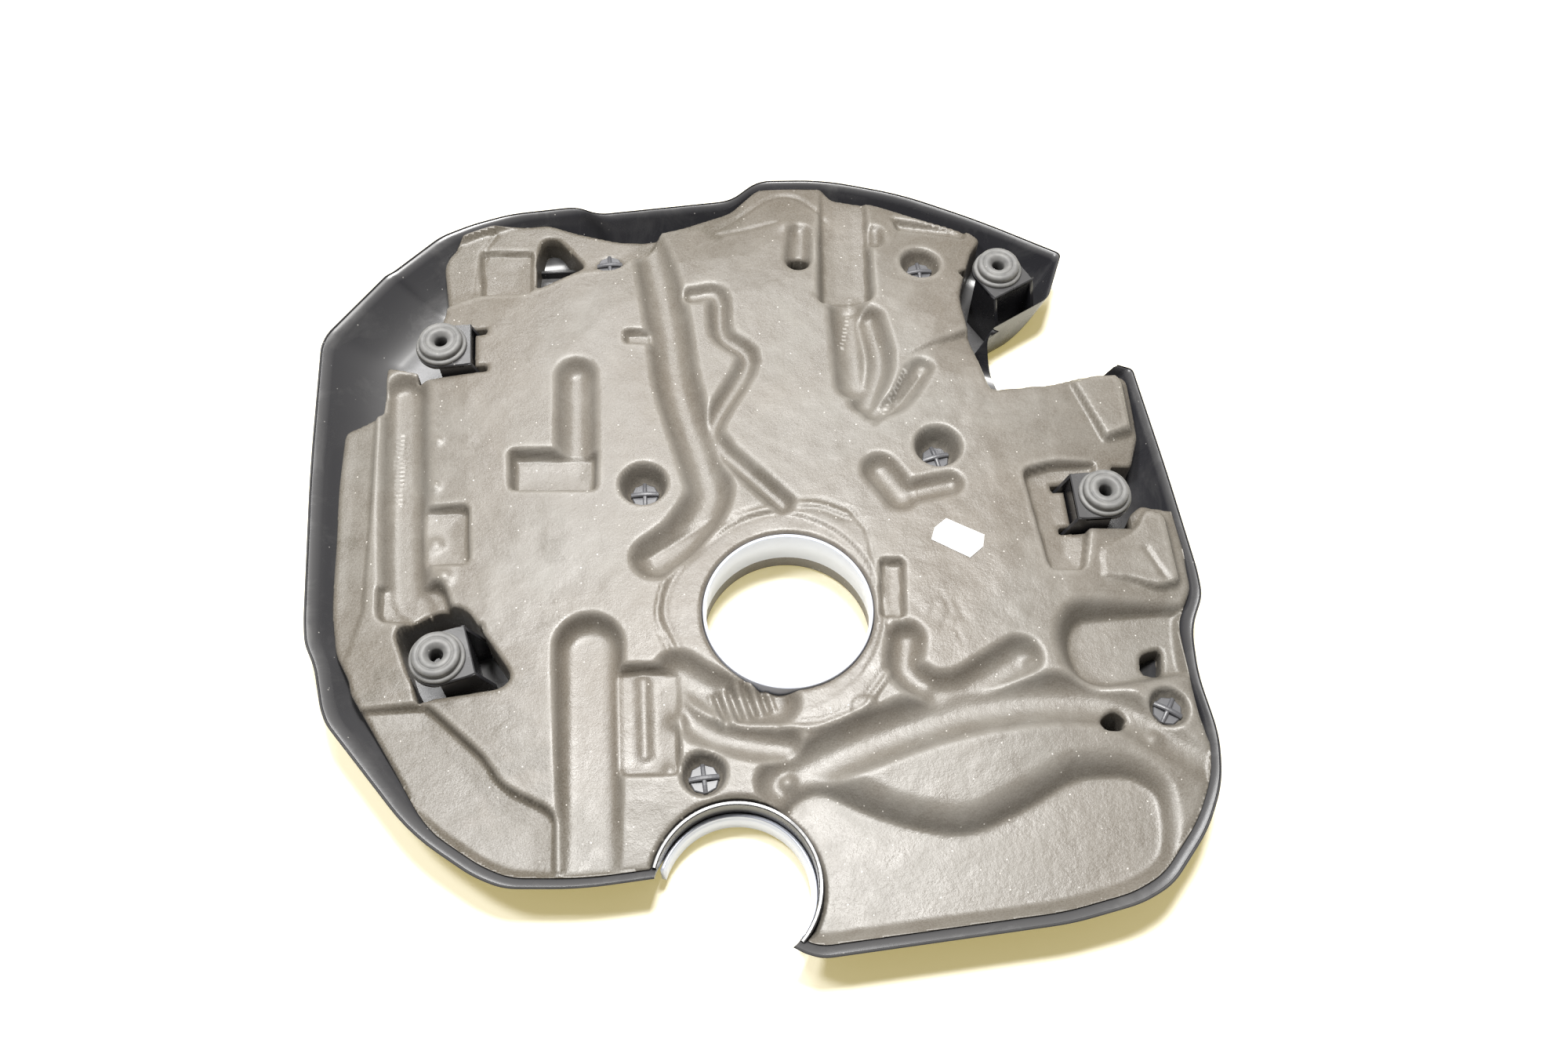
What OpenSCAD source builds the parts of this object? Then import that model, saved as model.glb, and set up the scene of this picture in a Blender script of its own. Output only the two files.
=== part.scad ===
// Engine cover of a family car, lying on its show face with the underside up.
// A moulded shell carries a sound-absorbing foam pad held by push-in retainers,
// four rubber grommets on moulded towers, and two silver trim rings.
// Origin: on the axis of the round centre hole, on the plane the cover rests on.

/* [Shell] */
// Height of the rim above the plane the cover rests on
rim_z = 38; // [34:0.5:44]
// Wall thickness of the moulded shell
wall = 2.5; // [2:0.1:3.5]
// Thickness of the ribs and walls of the grommet towers
rib_t = 2.5; // [2:0.1:3]
// Height of the two low stiffening ribs on the inside of the floor
floor_rib_z = 10; // [6:0.5:14]

/* [Centre hole] */
// Radius of the straight mouth of the sleeve in the centre hole
sleeve_r = 49; // [46:0.5:51]
// How much wider the sleeve opens at the show face than at its mouth
sleeve_flare = 3.8; // [2.5:0.1:5]
// Height of the top edge of the sleeve
sleeve_top_z = 46; // [42:0.5:46.5]
// Length of the straight mouth of the sleeve
sleeve_mouth = 12; // [8:0.5:16]
// Length of the straight land at the sleeve's end on the show face
sleeve_land = 4; // [2:0.5:8]
// Wall thickness of the sleeve
sleeve_t = 2; // [1.5:0.1:2.5]

/* [Cut-out] */
// Radius of the half-round cut-out in the front edge
cutout_r = 45; // [42:0.5:48]
// Width of the silver trim that lines the cut-out
arc_trim_t = 3.2; // [2:0.1:4]
// Height of the top edge of the trim in the cut-out
arc_trim_z = 23; // [18:0.5:30]

/* [Grommets] */
// Top face of the plates that carry the grommets
plate_z = 52; // [50:0.5:56]
// Thickness of those plates
plate_t = 3; // [2.5:0.1:4]
// Radius of the round end of each plate
plate_r = 17; // [16.5:0.1:19]
// Outer radius of the grommet head
grommet_r = 14; // [12.5:0.1:14.5]
// Radius of the lip that rests on the plate
grommet_lip_r = 16.3; // [15.5:0.1:16.5]
// Height of the grommet head above its plate
grommet_h = 8; // [6:0.5:10]
// Depth of the grommet below its plate
grommet_depth = 6; // [4:0.5:8]
// Radius of the neck in the plate
neck_r = 9; // [8:0.1:10]
// Radius of the grommet's bore, for the ball stud on the engine
stud_r = 4; // [3:0.1:5]
// Radius of the funnel mouth above the bore
funnel_r = 7; // [6:0.1:8]
// Depth of that funnel
funnel_d = 5; // [3:0.5:6]

/* [Foam] */
// Height of the middle of the pad
foam_z = 48; // [47:0.5:52]
// Gap between the foam and the shell
foam_gap = 0.3; // [0.2:0.05:0.6]
// Depth of the flat pad round the centre hole below the middle
ring_step = 1.5; // [1:0.1:3]
// Slope of the pocket walls, as the inset at the floor
pocket_draft = 2.5; // [1:0.1:3]
// Gap between the foam and the grommet towers
tower_gap = 1; // [0.6:0.1:2]

/* [Retainers] */
// Radius of the head of a foam retainer
clip_r = 9; // [8:0.1:10]
// Floor of the round pocket that a retainer's head presses on
clip_floor_z = 30; // [28:0.5:31]
// Thickness of the retainer's flange
clip_flange_t = 2; // [1.5:0.1:2.5]
// Height of the cross on the retainer's head
clip_cross_h = 3; // [2:0.1:4]
// Width of the cross ribs
clip_rib = 3; // [2:0.1:4]
// Radius of the retainer's shank
shank_r = 3.5; // [3:0.1:4]
// Length of the retainer's shank
shank_len = 12; // [8:0.5:16]
// Radius of the hole in the foam at each boss
foam_hole_r = 7.2; // [6.8:0.1:7.6]
// Wall of the boss round a retainer's shank
boss_wall = 2.4; // [2:0.1:2.6]

/* [Label] */
// Thickness of the blank paper label
label_t = 0.3; // [0.2:0.05:0.5]

/* [Hidden] */
$fn = 36;
fit = 0.3;
high = 80;
sleeve_foot_z = 1;
sleeve_flare_r = sleeve_r + sleeve_flare;
// The bore in the moulding clears the widest part of the sleeve
sleeve_bore_r = sleeve_flare_r + sleeve_t + fit;
collar_r = sleeve_bore_r + wall;
collar_drop = 17;
collar_z = foam_z - collar_drop;

// Every size of the cover is scaled about this point to make its rings
dish_c = [20, 150];
// Mean distance from that point to the rim
dish_r = 280;

// Corners of the rim, clockwise, each with the length that its rounding takes
rim_corners = [
    [-174, 328, 10], [-127, 332, 8], [-112, 324, 8], [-17, 331, 9], [4, 349, 10],
    [52, 347, 20], [107, 330, 20], [160, 302, 20], [214, 268, 4], [198, 229, 6],
    [155, 205, 3], [245, 166, 3], [251, 86, 18], [255, 12, 8], [254, -4, 6],
    [243, -25, 9], [240, -55, 12], [244, -94, 12], [239, -122, 12], [225, -148, 12],
    [199, -177, 9], [180, -186, 9], [140, -194, 12], [4, -203, 6], [-5, -200, 3],
    [-83, -154, 3], [-125, -157, 16], [-167, -154, 8], [-184, -146, 8], [-219, -120, 20],
    [-271, -52, 5], [-275, -42, 5], [-281, -15, 7], [-288, 0, 6], [-290, 16, 7],
    [-296, 121, 30], [-298, 219, 5], [-295, 229, 5], [-259, 277, 3], [-254, 280, 3],
    [-223, 310, 7], [-201, 320, 8]];

// Section of the show face: share of the way to the rim, and height
dish_section = [[0.5, 0], [0.84, 1.2], [0.9, 8], [0.945, 19], [1, rim_z]];
// Section of the top of the foam, from its edge to the middle
foam_section = [[0.965, 33], [0.92, 37], [0.82, 41], [0.68, 45.5], [0.5, foam_z]];
foam_edge = [0.96, 29];

// Edge of the foam pad, clockwise
foam_corners = [
    [-214, 240, 5], [-220, 291, 8], [-202, 318, 8], [-147, 322, 5], [-127, 313, 6],
    [-97, 303, 6], [-74, 301, 6], [-52, 306, 6], [-18, 320, 6], [3, 342, 6], [50, 340, 3],
    [56, 330, 3], [87, 321, 6], [121, 304, 8], [151, 293, 6], [158, 284, 4], [149, 270, 4],
    [144, 256, 6], [134, 228, 10], [138, 188, 10], [144, 149, 6], [185, 153, 8],
    [210, 161, 5], [234, 162, 5], [239, 157, 4], [237, 113, 4], [228, 90, 3], [214, 90, 2],
    [214, 50, 2], [228, 61, 3], [250, 57, 5], [248, 2, 5], [236, -19, 8], [235, -39, 8],
    [235, -74, 10], [238, -103, 10], [232, -126, 8], [219, -148, 8], [205, -162, 6],
    [181, -180, 8], [111, -188, 8], [6, -196, 3], [-5, -192, 3], [-87, -149, 3],
    [-125, -152, 8], [-168, -147, 8], [-186, -140, 6], [-213, -111, 10], [-258, -33, 3],
    [-260, -24, 3], [-269, -7, 6], [-274, 24, 10], [-275, 65, 10], [-277, 110, 10],
    [-276, 150, 4], [-252, 161, 3], [-251, 197, 3], [-226, 189, 3]];

// Notch beside the right grommet, cut through the shell
notch_corners = [[152, 203], [163, 163], [187, 161], [212, 167], [243, 171], [300, 172], [300, 200]];
cutout_c = [-40, -160];

// Axis of each grommet and the direction that its tower's back wall faces
towers = [[-213, 203, 2], [162, 244, -62], [202, 63, 180], [-205, -21, 14]];
tower_back = 19;
tower_rib = 27;
tower_front = -2;
tower_half = 16.5;

// Places of the foam retainers: x, y, and the turn of the cross
clips = [[-104, 280, 2], [112, 261, 3], [104, 108, 12], [-84, 92, 0], [-55, -97, 4], [218, -74, -33]];
spare_hole = [27, 265];
floor_rib_y = [276, 294];
ring_x = -10;
ring_r = 67;
floor_rib_x = -168;
floor_rib_l = 56;

// Troughs that hoses and pipes press into the foam: floor, half width, path
troughs = [
    [34, 12, [[-76, 296], [-66, 230], [-60, 165], [-46, 104], [-44, 80], [-60, 54], [-78, 40]]],
    [39, 5, [[-48, 240], [-31, 239], [-29, 206], [-13, 183], [-38, 135], [-34, 116], [-22, 101], [2, 73]]],
    [35, 11, [[-126, 178], [-126, 110]]],
    [30, 10, [[-239, 175], [-231, 40], [-222, 20]]],
    [27, 17, [[-119, -16], [-119, -170]]],
    [31.4, 14, [[-12, -106], [36, -86], [107, -68], [176, -70], [214, -95], [245, -122]]],
    [36, 8, [[68, -24], [66, -44], [84, -60]]],
    [34, 11, [[84, -60], [100, -58], [134, -40]]],
    [36, 11, [[57, 232], [56, 160]]],
    [35, 7, [[70, 212], [73, 178], [62, 146]]],
    [39, 6, [[66, 138], [84, 146], [101, 170]]],
    [38, 10, [[65, 93], [76, 74]]],
    [40, 7, [[76, 74], [108, 80]]],
    [35, 14, [[-60, -48], [-8, -54]]],
    [37, 10, [[-56, -78], [-6, -84]]],
    [39, 8, [[30, 294], [27, 268]]],
    [38, 6, [[83, 293], [82, 284]]]];

// Pockets in the foam: floor, corner rounding, corners clockwise
pockets = [
    [36, 6, [[-170, 125], [-111, 121], [-112, 88], [-169, 92]]],
    [41, 4, [[-95, 214], [-74, 212], [-74, 199], [-95, 201]]],
    [36, 6, [[-223, 88], [-192, 86], [-190, 43], [-221, 45]]],
    [31.2, 8, [[-248, 38], [-206, 34], [-198, 8], [-246, 10]]],
    [35, 6, [[-104, -29], [-65, -31], [-67, -98], [-104, -96]]],
    [41, 5, [[57, 31], [74, 29], [70, -12], [53, -10]]],
    [29, 14, [[157, -24], [170, -4], [222, -3], [233, -22], [228, -44], [212, -61], [178, -65], [160, -52]]],
    [36, 6, [[155, 88], [177, 94], [206, 94], [184, 15], [161, 16]]],
    [29.6, 14, [[8, -96], [51, -119], [88, -130], [124, -116], [154, -100], [192, -101], [213, -118],
        [212, -150], [196, -178], [100, -240], [-20, -240], [-20, -110]]],
    [25, 6, [[-196, 302], [-156, 299], [-156, 252], [-194, 254]]],
    [32, 5, [[46, 370], [88, 370], [77, 226], [36, 226]]],
    [37, 4, [[108, 305], [154, 295], [151, 281], [107, 288]]],
    [32, 8, [[-213, -42], [-178, -77], [-168, -94], [-137, -112], [-137, -200], [-320, -200], [-320, -42]]],
    [30.8, 6, [[-260, 250], [-260, 360], [-62, 360], [-62, 312], [-74, 285], [-99, 270], [-127, 266],
        [-150, 254], [-180, 254], [-200, 250], [-226, 238]]],
    [35, 3, [[-300, 190], [-254, 190], [-252, 20], [-262, -20], [-300, -20]]]];

// Openings right through the foam
gaps = [
    [5, [[-150, 308], [-141, 308], [-131, 284], [-157, 267], [-155, 290]]],
    [8, [[-235, 5], [-213, 19], [-192, 15], [-163, -31], [-169, -38], [-214, -41], [-224, -26]]],
    [5, [[210, -36], [224, -33], [220, -52], [208, -49]]],
    [5, [[176, -78], [186, -72], [193, -80], [186, -87], [176, -87]]]];

// Blocks that stand up from the foam: top, corner rounding, corners
blocks = [
    [46, 4, [[196, 155], [214, 161], [231, 160], [235, 154], [234, 114], [212, 106]]],
    [43, 6, [[193, 32], [217, 44], [228, 60], [243, 54], [243, 3], [226, -1], [208, 6], [190, 8]]]];

label_corners = [[94, 48], [102, 54], [124, 41], [122, 33], [113, 26], [91, 40]];

colour_shell = [0.07, 0.07, 0.09];
colour_foam = [0.52, 0.48, 0.43];
colour_silver = [0.75, 0.76, 0.78];
colour_rubber = [0.36, 0.36, 0.37];
colour_clip = [0.2, 0.2, 0.22];
colour_paper = [0.96, 0.96, 0.95];

function flat(p) = [p[0], p[1]];
function mix(a, b, t) = a + (b - a) * t;
function bend(a, k, b, t) = mix(mix(a, k, t), mix(k, b, t), t);
function backward(list) = [for (i = [len(list) - 1 : -1 : 0]) list[i]];
function middle(pts) = let (x = [for (p = pts) p[0]], y = [for (p = pts) p[1]])
    [(min(x) + max(x)) / 2, (min(y) + max(y)) / 2];
function unit(v) = v / norm(v);
function left(d) = [-d[1], d[0]];
function toward(a, b, d) = a + (b - a) * min(d / norm(b - a), 0.45);

// Corners with a rounding length each become a smooth closed outline, with one more point on a long bend
function rounded(corners, long_bend = 12) = [
    for (i = [0 : len(corners) - 1])
        let (n = len(corners), k = flat(corners[i]), d = corners[i][2], steps = d < long_bend ? 1 : 2,
            a = toward(k, flat(corners[(i + n - 1) % n]), d),
            b = toward(k, flat(corners[(i + 1) % n]), d))
        for (j = [0 : steps]) bend(a, k, b, j / steps)];

function with_rounding(corners, d) = [for (p = corners) [p[0], p[1], d]];

// A clockwise outline moved inward by d along its own normals
function inset(pts, d) = [
    for (i = [0 : len(pts) - 1])
        let (n = len(pts), t = pts[(i + 1) % n] - pts[(i + n - 1) % n])
        pts[i] + [t[1], -t[0]] / norm(t) * d];

// The rim outline scaled about the dish centre, at one height
function dish_ring(s, z) = [
    for (p = rim) [dish_c[0] + (p[0] - dish_c[0]) * s, dish_c[1] + (p[1] - dish_c[1]) * s, z]];

// A section moved inward and up by d, square to itself
function section_inside(sec, d) = [
    for (j = [0 : len(sec) - 1])
        let (a = sec[max(j - 1, 0)], b = sec[min(j + 1, len(sec) - 1)],
            t = [(b[0] - a[0]) * dish_r, b[1] - a[1]], l = norm(t))
        [sec[j][0] - t[1] / l * d / dish_r, sec[j][1] + t[0] / l * d]];

rim = rounded(rim_corners);
inner_section = section_inside(dish_section, wall);
foam_seat = section_inside(dish_section, wall + foam_gap);

// Lids over a ring of n points that starts at point number first: a fan round a middle point,
// or for a band, a strip from side to side with its two round ends
function fan(n, first, hub) = [for (i = [0 : n - 1]) [hub, first + i, first + (i + 1) % n]];
function strip(n, first) = let (k = n / 2 - 3, far = first + 2 * k + 2) concat(
    [for (i = [0 : k - 2]) [first + i, first + i + 1, far - i - 1, far - i]],
    [[for (i = [k - 1 : k + 3]) first + i], concat([for (i = [0 : 3]) far + i], [first])]);

// Closed solid through a stack of rings with the same number of points, clockwise and bottom first
module stack(rings, hub) {
    n = len(rings[0]);
    top = len(rings) - 1;
    hubs = is_undef(hub) ? [] : [for (r = [rings[0], rings[top]]) [hub[0], hub[1], r[0][2]]];
    lids = [for (j = [0, top]) len(hubs) == 0 ? strip(n, j * n) : fan(n, j * n, (top + 1) * n + sign(j))];
    polyhedron(
        points = concat([for (r = rings) each r], hubs),
        faces = concat(
            [for (f = lids[0]) backward(f)],
            [for (j = [0 : top - 1]) for (i = [0 : n - 1])
                [j * n + i, j * n + (i + 1) % n, (j + 1) * n + (i + 1) % n, (j + 1) * n + i]],
            lids[1]));
}

// Everything on or above the show face
module above_show_face() {
    stack([for (q = concat(dish_section, [[1, high]])) dish_ring(q[0], q[1])], dish_c);
}

// The open dish itself: up the outside, over the rim and down the inside
module dish_wall() {
    m = len(dish_section) - 1;
    stack(concat(
        [for (q = dish_section) dish_ring(q[0], q[1])],
        [dish_ring(inner_section[m][0], rim_z)],
        [for (j = [m - 1 : -1 : 0]) dish_ring(inner_section[j][0], inner_section[j][1])]), dish_c);
}

// One grommet tower: round-ended plate, back wall and two side walls that run on as ribs
module tower(t) {
    foot = wall / 2 + 0.5;
    translate([t[0], t[1], 0]) rotate([0, 0, t[2]]) {
        translate([0, 0, plate_z - plate_t]) cylinder(r = plate_r, h = plate_t);
        translate([0, -tower_half, plate_z - plate_t]) cube([tower_back, 2 * tower_half, plate_t]);
        translate([tower_back - rib_t, -tower_half, foot]) cube([rib_t, 2 * tower_half, plate_z - foot - 1]);
        for (side = [-tower_half, tower_half - rib_t])
            translate([0, side + rib_t, 0]) rotate([90, 0, 0]) linear_extrude(rib_t)
                polygon([[tower_front, foot], [tower_rib, foot], [tower_rib, foam_z - 22],
                    [tower_back, plate_z - 1], [tower_front, plate_z - 1]]);
    }
}

// Room that the foam leaves for a tower
module tower_room(t) {
    g = tower_gap;
    translate([t[0], t[1], 0]) rotate([0, 0, t[2]]) {
        translate([-plate_r - g, -plate_r - g, 0])
            cube([plate_r + tower_back + 2 * g, 2 * (plate_r + g), high]);
        for (side = [-tower_half, tower_half - rib_t])
            translate([tower_back, side - g, 0]) cube([tower_rib - tower_back + g, rib_t + 2 * g, high]);
    }
}

module boss(c) {
    foot = wall / 2 + 0.5;
    translate([c[0], c[1], foot]) cylinder(r = shank_r + fit + boss_wall - 0.2, h = clip_floor_z - 2 - foot);
}

module cover_shell() color(colour_shell) difference() {
    union() {
        dish_wall();
        intersection() {
            above_show_face();
            union() {
                translate([0, 0, wall / 2]) cylinder(r = collar_r, h = collar_z - wall / 2);
                for (t = towers) tower(t);
                for (c = clips) boss(c);
                translate([cutout_c[0], cutout_c[1], wall / 2])
                    cylinder(r = cutout_r + wall, h = rim_z - wall / 2 - 0.4);
                for (y = floor_rib_y) translate([floor_rib_x, y, wall / 2]) cube([floor_rib_l, rib_t, floor_rib_z]);
            }
        }
    }
    translate([0, 0, -1]) cylinder(r = sleeve_bore_r, h = high);
    translate([cutout_c[0], cutout_c[1], -1]) cylinder(r = cutout_r, h = high);
    translate([0, 0, -1]) linear_extrude(high) polygon(notch_corners);
    for (t = towers) translate([t[0], t[1], plate_z - plate_t - 1]) cylinder(r = neck_r + fit / 2, h = high);
    for (c = clips) translate([c[0], c[1], clip_floor_z - shank_len - 1]) cylinder(r = shank_r + fit / 2, h = high);
}

// One side of a band of half width r along a path, mitred at its bends
function band_side(path, r) = [
    for (i = [0 : len(path) - 1])
        let (last = len(path) - 1,
            u = unit(path[min(i + 1, last)] - path[min(i, last - 1)]),
            v = unit(path[max(i, 1)] - path[max(i - 1, 0)]))
        path[i] + (left(u) + left(v)) * r / (1 + u * v)];

function band_end(p, d, r) = [for (a = [50, 0, -50]) p + r * (cos(a) * d + sin(a) * left(d))];

// Outline of a round-ended band along a path, clockwise
function band(path, r) = let (n = len(path)) concat(
    band_side(path, r), band_end(path[n - 1], unit(path[n - 1] - path[n - 2]), r),
    backward(band_side(path, -r)), band_end(path[0], unit(path[0] - path[1]), r));

// A trough with a narrow floor that opens towards the top of the foam.
// Each cut ends above the foam at a height of its own, so that no two of their tops share a plane.
module trough(floor_z, r, path) {
    stack([
        [for (p = band(path, 0.55 * r)) [p[0], p[1], floor_z]],
        [for (p = band(path, r)) [p[0], p[1], floor_z + 0.6 * r]],
        [for (p = band(path, 1.12 * r)) [p[0], p[1], high + floor_z + r]]]);
}

module pocket(floor_z, d, corners) {
    edge = rounded(with_rounding(corners, d));
    foot = inset(edge, pocket_draft);
    stack([
        [for (p = foot) [p[0], p[1], floor_z]],
        [for (p = edge) [p[0], p[1], floor_z + 2 * pocket_draft]],
        [for (p = edge) [p[0], p[1], high + floor_z + d]]], middle(edge));
}

module block(top_z, d, corners) {
    foot = rounded(with_rounding(corners, d));
    crown = inset(foot, pocket_draft);
    stack([
        [for (p = foot) [p[0], p[1], foam_edge[1]]],
        [for (p = foot) [p[0], p[1], top_z - pocket_draft]],
        [for (p = crown) [p[0], p[1], top_z]]], middle(foot));
}

module clip_pocket(c) {
    translate([c[0], c[1], clip_floor_z])
        cylinder(r1 = clip_r + 2.5, r2 = clip_r + 6, h = foam_z + 1 - clip_floor_z);
    translate([c[0], c[1], 0]) cylinder(r = foam_hole_r, h = high);
}

module foam_pad() color(colour_foam) difference() {
    intersection() {
        union() {
            stack(concat(
                [for (j = [0 : 3]) dish_ring(foam_seat[j][0], foam_seat[j][1])],
                [dish_ring(foam_edge[0], foam_edge[1])],
                [for (q = foam_section) dish_ring(q[0], q[1])]), dish_c);
            for (b = blocks) block(b[0], b[1], b[2]);
        }
        linear_extrude(high) polygon(rounded(foam_corners));
    }
    for (t = troughs) trough(t[0], t[1], t[2]);
    for (p = pockets) pocket(p[0], p[1], p[2]);
    for (g = gaps) linear_extrude(high) polygon(rounded(with_rounding(g[1], g[0])));
    for (c = clips) clip_pocket(c);
    for (t = towers) tower_room(t);
    translate([spare_hole[0], spare_hole[1], 0]) cylinder(r = foam_hole_r, h = high);
    translate([ring_x, 0, foam_z - ring_step]) cylinder(r = ring_r, h = high);
    cylinder(r = sleeve_r + sleeve_t + fit, h = high);
    cylinder(r = collar_r + fit, h = collar_z + 2);
    translate([cutout_c[0], cutout_c[1], 0]) cylinder(r = cutout_r + wall + fit, h = high);
    for (y = floor_rib_y) translate([floor_rib_x - 1, y - 1, 0]) cube([floor_rib_l + 2, rib_t + 2, floor_rib_z + 2]);
}

// Silver sleeve: straight mouth on the engine side, opening out towards the show face
module centre_sleeve() color(colour_silver) rotate_extrude($fn = 96) polygon([
    [sleeve_flare_r, sleeve_foot_z], [sleeve_flare_r, sleeve_foot_z + sleeve_land],
    [sleeve_r, sleeve_top_z - sleeve_mouth], [sleeve_r, sleeve_top_z],
    [sleeve_r + sleeve_t, sleeve_top_z], [sleeve_r + sleeve_t, sleeve_top_z - sleeve_mouth],
    [sleeve_flare_r + sleeve_t, sleeve_foot_z + sleeve_land + 3], [sleeve_flare_r + sleeve_t, sleeve_foot_z]]);

module cutout_trim() color(colour_silver) translate(cutout_c) rotate([0, 0, -38])
    rotate_extrude(angle = 198, $fn = 96) translate([cutout_r - fit - arc_trim_t, 2]) polygon([
        [0.8, 0], [0, 4], [0, arc_trim_z - 5], [1, arc_trim_z - 3.5], [1, arc_trim_z - 2],
        [arc_trim_t, arc_trim_z - 2], [arc_trim_t, 0]]);

module grommet(i) color(colour_rubber) translate([towers[i][0], towers[i][1], plate_z])
    rotate_extrude() polygon([
        [stud_r, -plate_t - grommet_depth], [stud_r, grommet_h - funnel_d],
        [funnel_r, grommet_h - 1], [funnel_r, grommet_h], [grommet_r - 1, grommet_h],
        [grommet_r, grommet_h - 1], [grommet_r, 3.6], [grommet_r - 1, 2.8],
        [grommet_lip_r - 0.8, 2.6], [grommet_lip_r, 1.8], [grommet_lip_r, 0],
        [neck_r, 0], [neck_r, -plate_t], [neck_r + 2.5, -plate_t],
        [neck_r + 1, -plate_t - grommet_depth]]);

module retainer(i) color(colour_clip) {
    translate([clips[i][0], clips[i][1], clip_floor_z]) rotate([0, 0, clips[i][2]]) {
        translate([0, 0, 1 - shank_len]) cylinder(r = shank_r, h = shank_len);
        cylinder(r = clip_r, h = clip_flange_t, $fn = 8);
        intersection() {
            cylinder(r = clip_r, h = clip_flange_t + clip_cross_h);
            for (turn = [0, 90]) rotate([0, 0, turn])
                translate([-clip_r, -clip_rib / 2, 0]) cube([2 * clip_r, clip_rib, clip_flange_t + clip_cross_h]);
        }
    }
}

module blank_label() color(colour_paper) translate([0, 0, foam_z]) linear_extrude(label_t) polygon(label_corners);

cover_shell();
foam_pad();
centre_sleeve();
cutout_trim();
grommet(0);  // grommet_rear_left
grommet(1);  // grommet_rear_right
grommet(2);  // grommet_right
grommet(3);  // grommet_front_left
retainer(0);  // retainer_1
retainer(1);  // retainer_2
retainer(2);  // retainer_3
retainer(3);  // retainer_4
retainer(4);  // retainer_5
retainer(5);  // retainer_6
blank_label();
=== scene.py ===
# %% [markdown]
# # An engine cover, lying show face down
# The cover is a black moulded shell. Inside it lies a thick foam pad, moulded over the top of the engine,
# so its face is a landscape of hose troughs and pockets. Four rubber grommets stand on towers, six clips
# hold the foam, a silver sleeve lines the round hole and a silver arc lines the half-round cut-out. The
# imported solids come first, because every piece below has to stay where they are.

import math

import bmesh
import bpy
import numpy as np
from mathutils import Matrix, Vector


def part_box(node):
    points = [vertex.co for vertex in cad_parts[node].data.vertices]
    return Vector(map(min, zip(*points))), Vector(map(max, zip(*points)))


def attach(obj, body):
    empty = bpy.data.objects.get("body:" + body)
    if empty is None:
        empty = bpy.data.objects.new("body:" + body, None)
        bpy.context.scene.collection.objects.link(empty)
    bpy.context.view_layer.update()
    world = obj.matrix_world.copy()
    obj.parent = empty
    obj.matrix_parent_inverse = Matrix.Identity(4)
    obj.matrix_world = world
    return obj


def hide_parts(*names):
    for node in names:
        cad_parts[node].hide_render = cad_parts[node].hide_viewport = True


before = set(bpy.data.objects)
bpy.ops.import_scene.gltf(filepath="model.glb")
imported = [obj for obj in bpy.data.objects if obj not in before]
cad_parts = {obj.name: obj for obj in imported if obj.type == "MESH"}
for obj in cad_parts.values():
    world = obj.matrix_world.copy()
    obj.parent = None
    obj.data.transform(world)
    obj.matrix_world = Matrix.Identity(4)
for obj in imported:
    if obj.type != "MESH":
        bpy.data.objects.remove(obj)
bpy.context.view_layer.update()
MM = 0.001
print("solids:", sorted(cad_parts))

# %% [markdown]
# ## Camera
# A photograph can be matched by placing the camera by eye, or by working out where it stood from points
# whose places are known. Here the grommets, clips and rim gave the camera's place and turn, so they are
# written as numbers.

# %% Camera where the photographer stood
CAMERA_PLACE = (-0.04011, -0.35296, 0.78482)
VIEW_DIRECTION = (0.0497, 0.4883, -0.8713)
LEVEL_RIGHT = (0.99485, -0.10131, 0.0)
ROLL_DEGREES = 1.829
LENS_MM = 31.482

ahead = Vector(VIEW_DIRECTION).normalized()
level_right = Vector(LEVEL_RIGHT).normalized()
level_up = level_right.cross(ahead).normalized()
roll = math.radians(ROLL_DEGREES)
right = math.cos(roll) * level_right + math.sin(roll) * level_up
up = -math.sin(roll) * level_right + math.cos(roll) * level_up
camera = bpy.data.objects.new("camera", bpy.data.cameras.new("camera"))
bpy.context.scene.collection.objects.link(camera)
turn = Matrix((right, up, -ahead)).transposed().to_4x4()
camera.matrix_world = Matrix.Translation(CAMERA_PLACE) @ turn
camera.data.sensor_fit = "HORIZONTAL"
camera.data.sensor_width = 36.0
camera.data.lens = LENS_MM
camera.data.clip_end = 20.0
bpy.context.scene.camera = camera
print("camera lens", camera.data.lens, "mm, height", round(camera.location.z, 3), "m")

# %% [markdown]
# ## Outlines
# The rim, the foam's edge and the pockets are all closed outlines with rounded corners. They could be drawn
# as curves, but plain lists of corners are easier to measure and to cut with. Each corner has the length
# that its rounding takes from the two sides beside it. All places and lengths are in millimetres, and only
# the finished meshes are turned into metres.

# %% Rounded outlines and smooth paths
def rounded(corners, steps=6):
    """Corners with a rounding length become points on a smooth closed line."""
    pts = []
    n = len(corners)
    for i, (x, y, d) in enumerate(corners):
        k = np.array((x, y), float)
        before, after = np.array(corners[i - 1][:2], float), np.array(corners[(i + 1) % n][:2], float)
        a = k + (before - k) * min(d / np.linalg.norm(before - k), 0.45)
        b = k + (after - k) * min(d / np.linalg.norm(after - k), 0.45)
        for j in range(steps + 1):
            t = j / steps
            pts.append((1 - t) ** 2 * a + 2 * t * (1 - t) * k + t * t * b)
    return np.array(pts)


def same_rounding(corners, d):
    """Corners without a rounding length all get the same one."""
    return [(x, y, d) for x, y in corners]


def smooth_path(path, steps=5):
    """A smooth line through the points of a hose's path."""
    p = np.array(path, float)
    if len(p) < 3:
        return p
    ends = np.vstack([2 * p[0] - p[1], p, 2 * p[-1] - p[-2]])
    out = []
    for i in range(1, len(ends) - 2):
        a, b, c, d = ends[i - 1 : i + 3]
        for j in range(steps):
            t = j / steps
            out.append(0.5 * (2 * b + (c - a) * t + (2 * a - 5 * b + 4 * c - d) * t ** 2
                              + (3 * b - a - 3 * c + d) * t ** 3))
    return np.vstack(out + [p[-1]])


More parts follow.
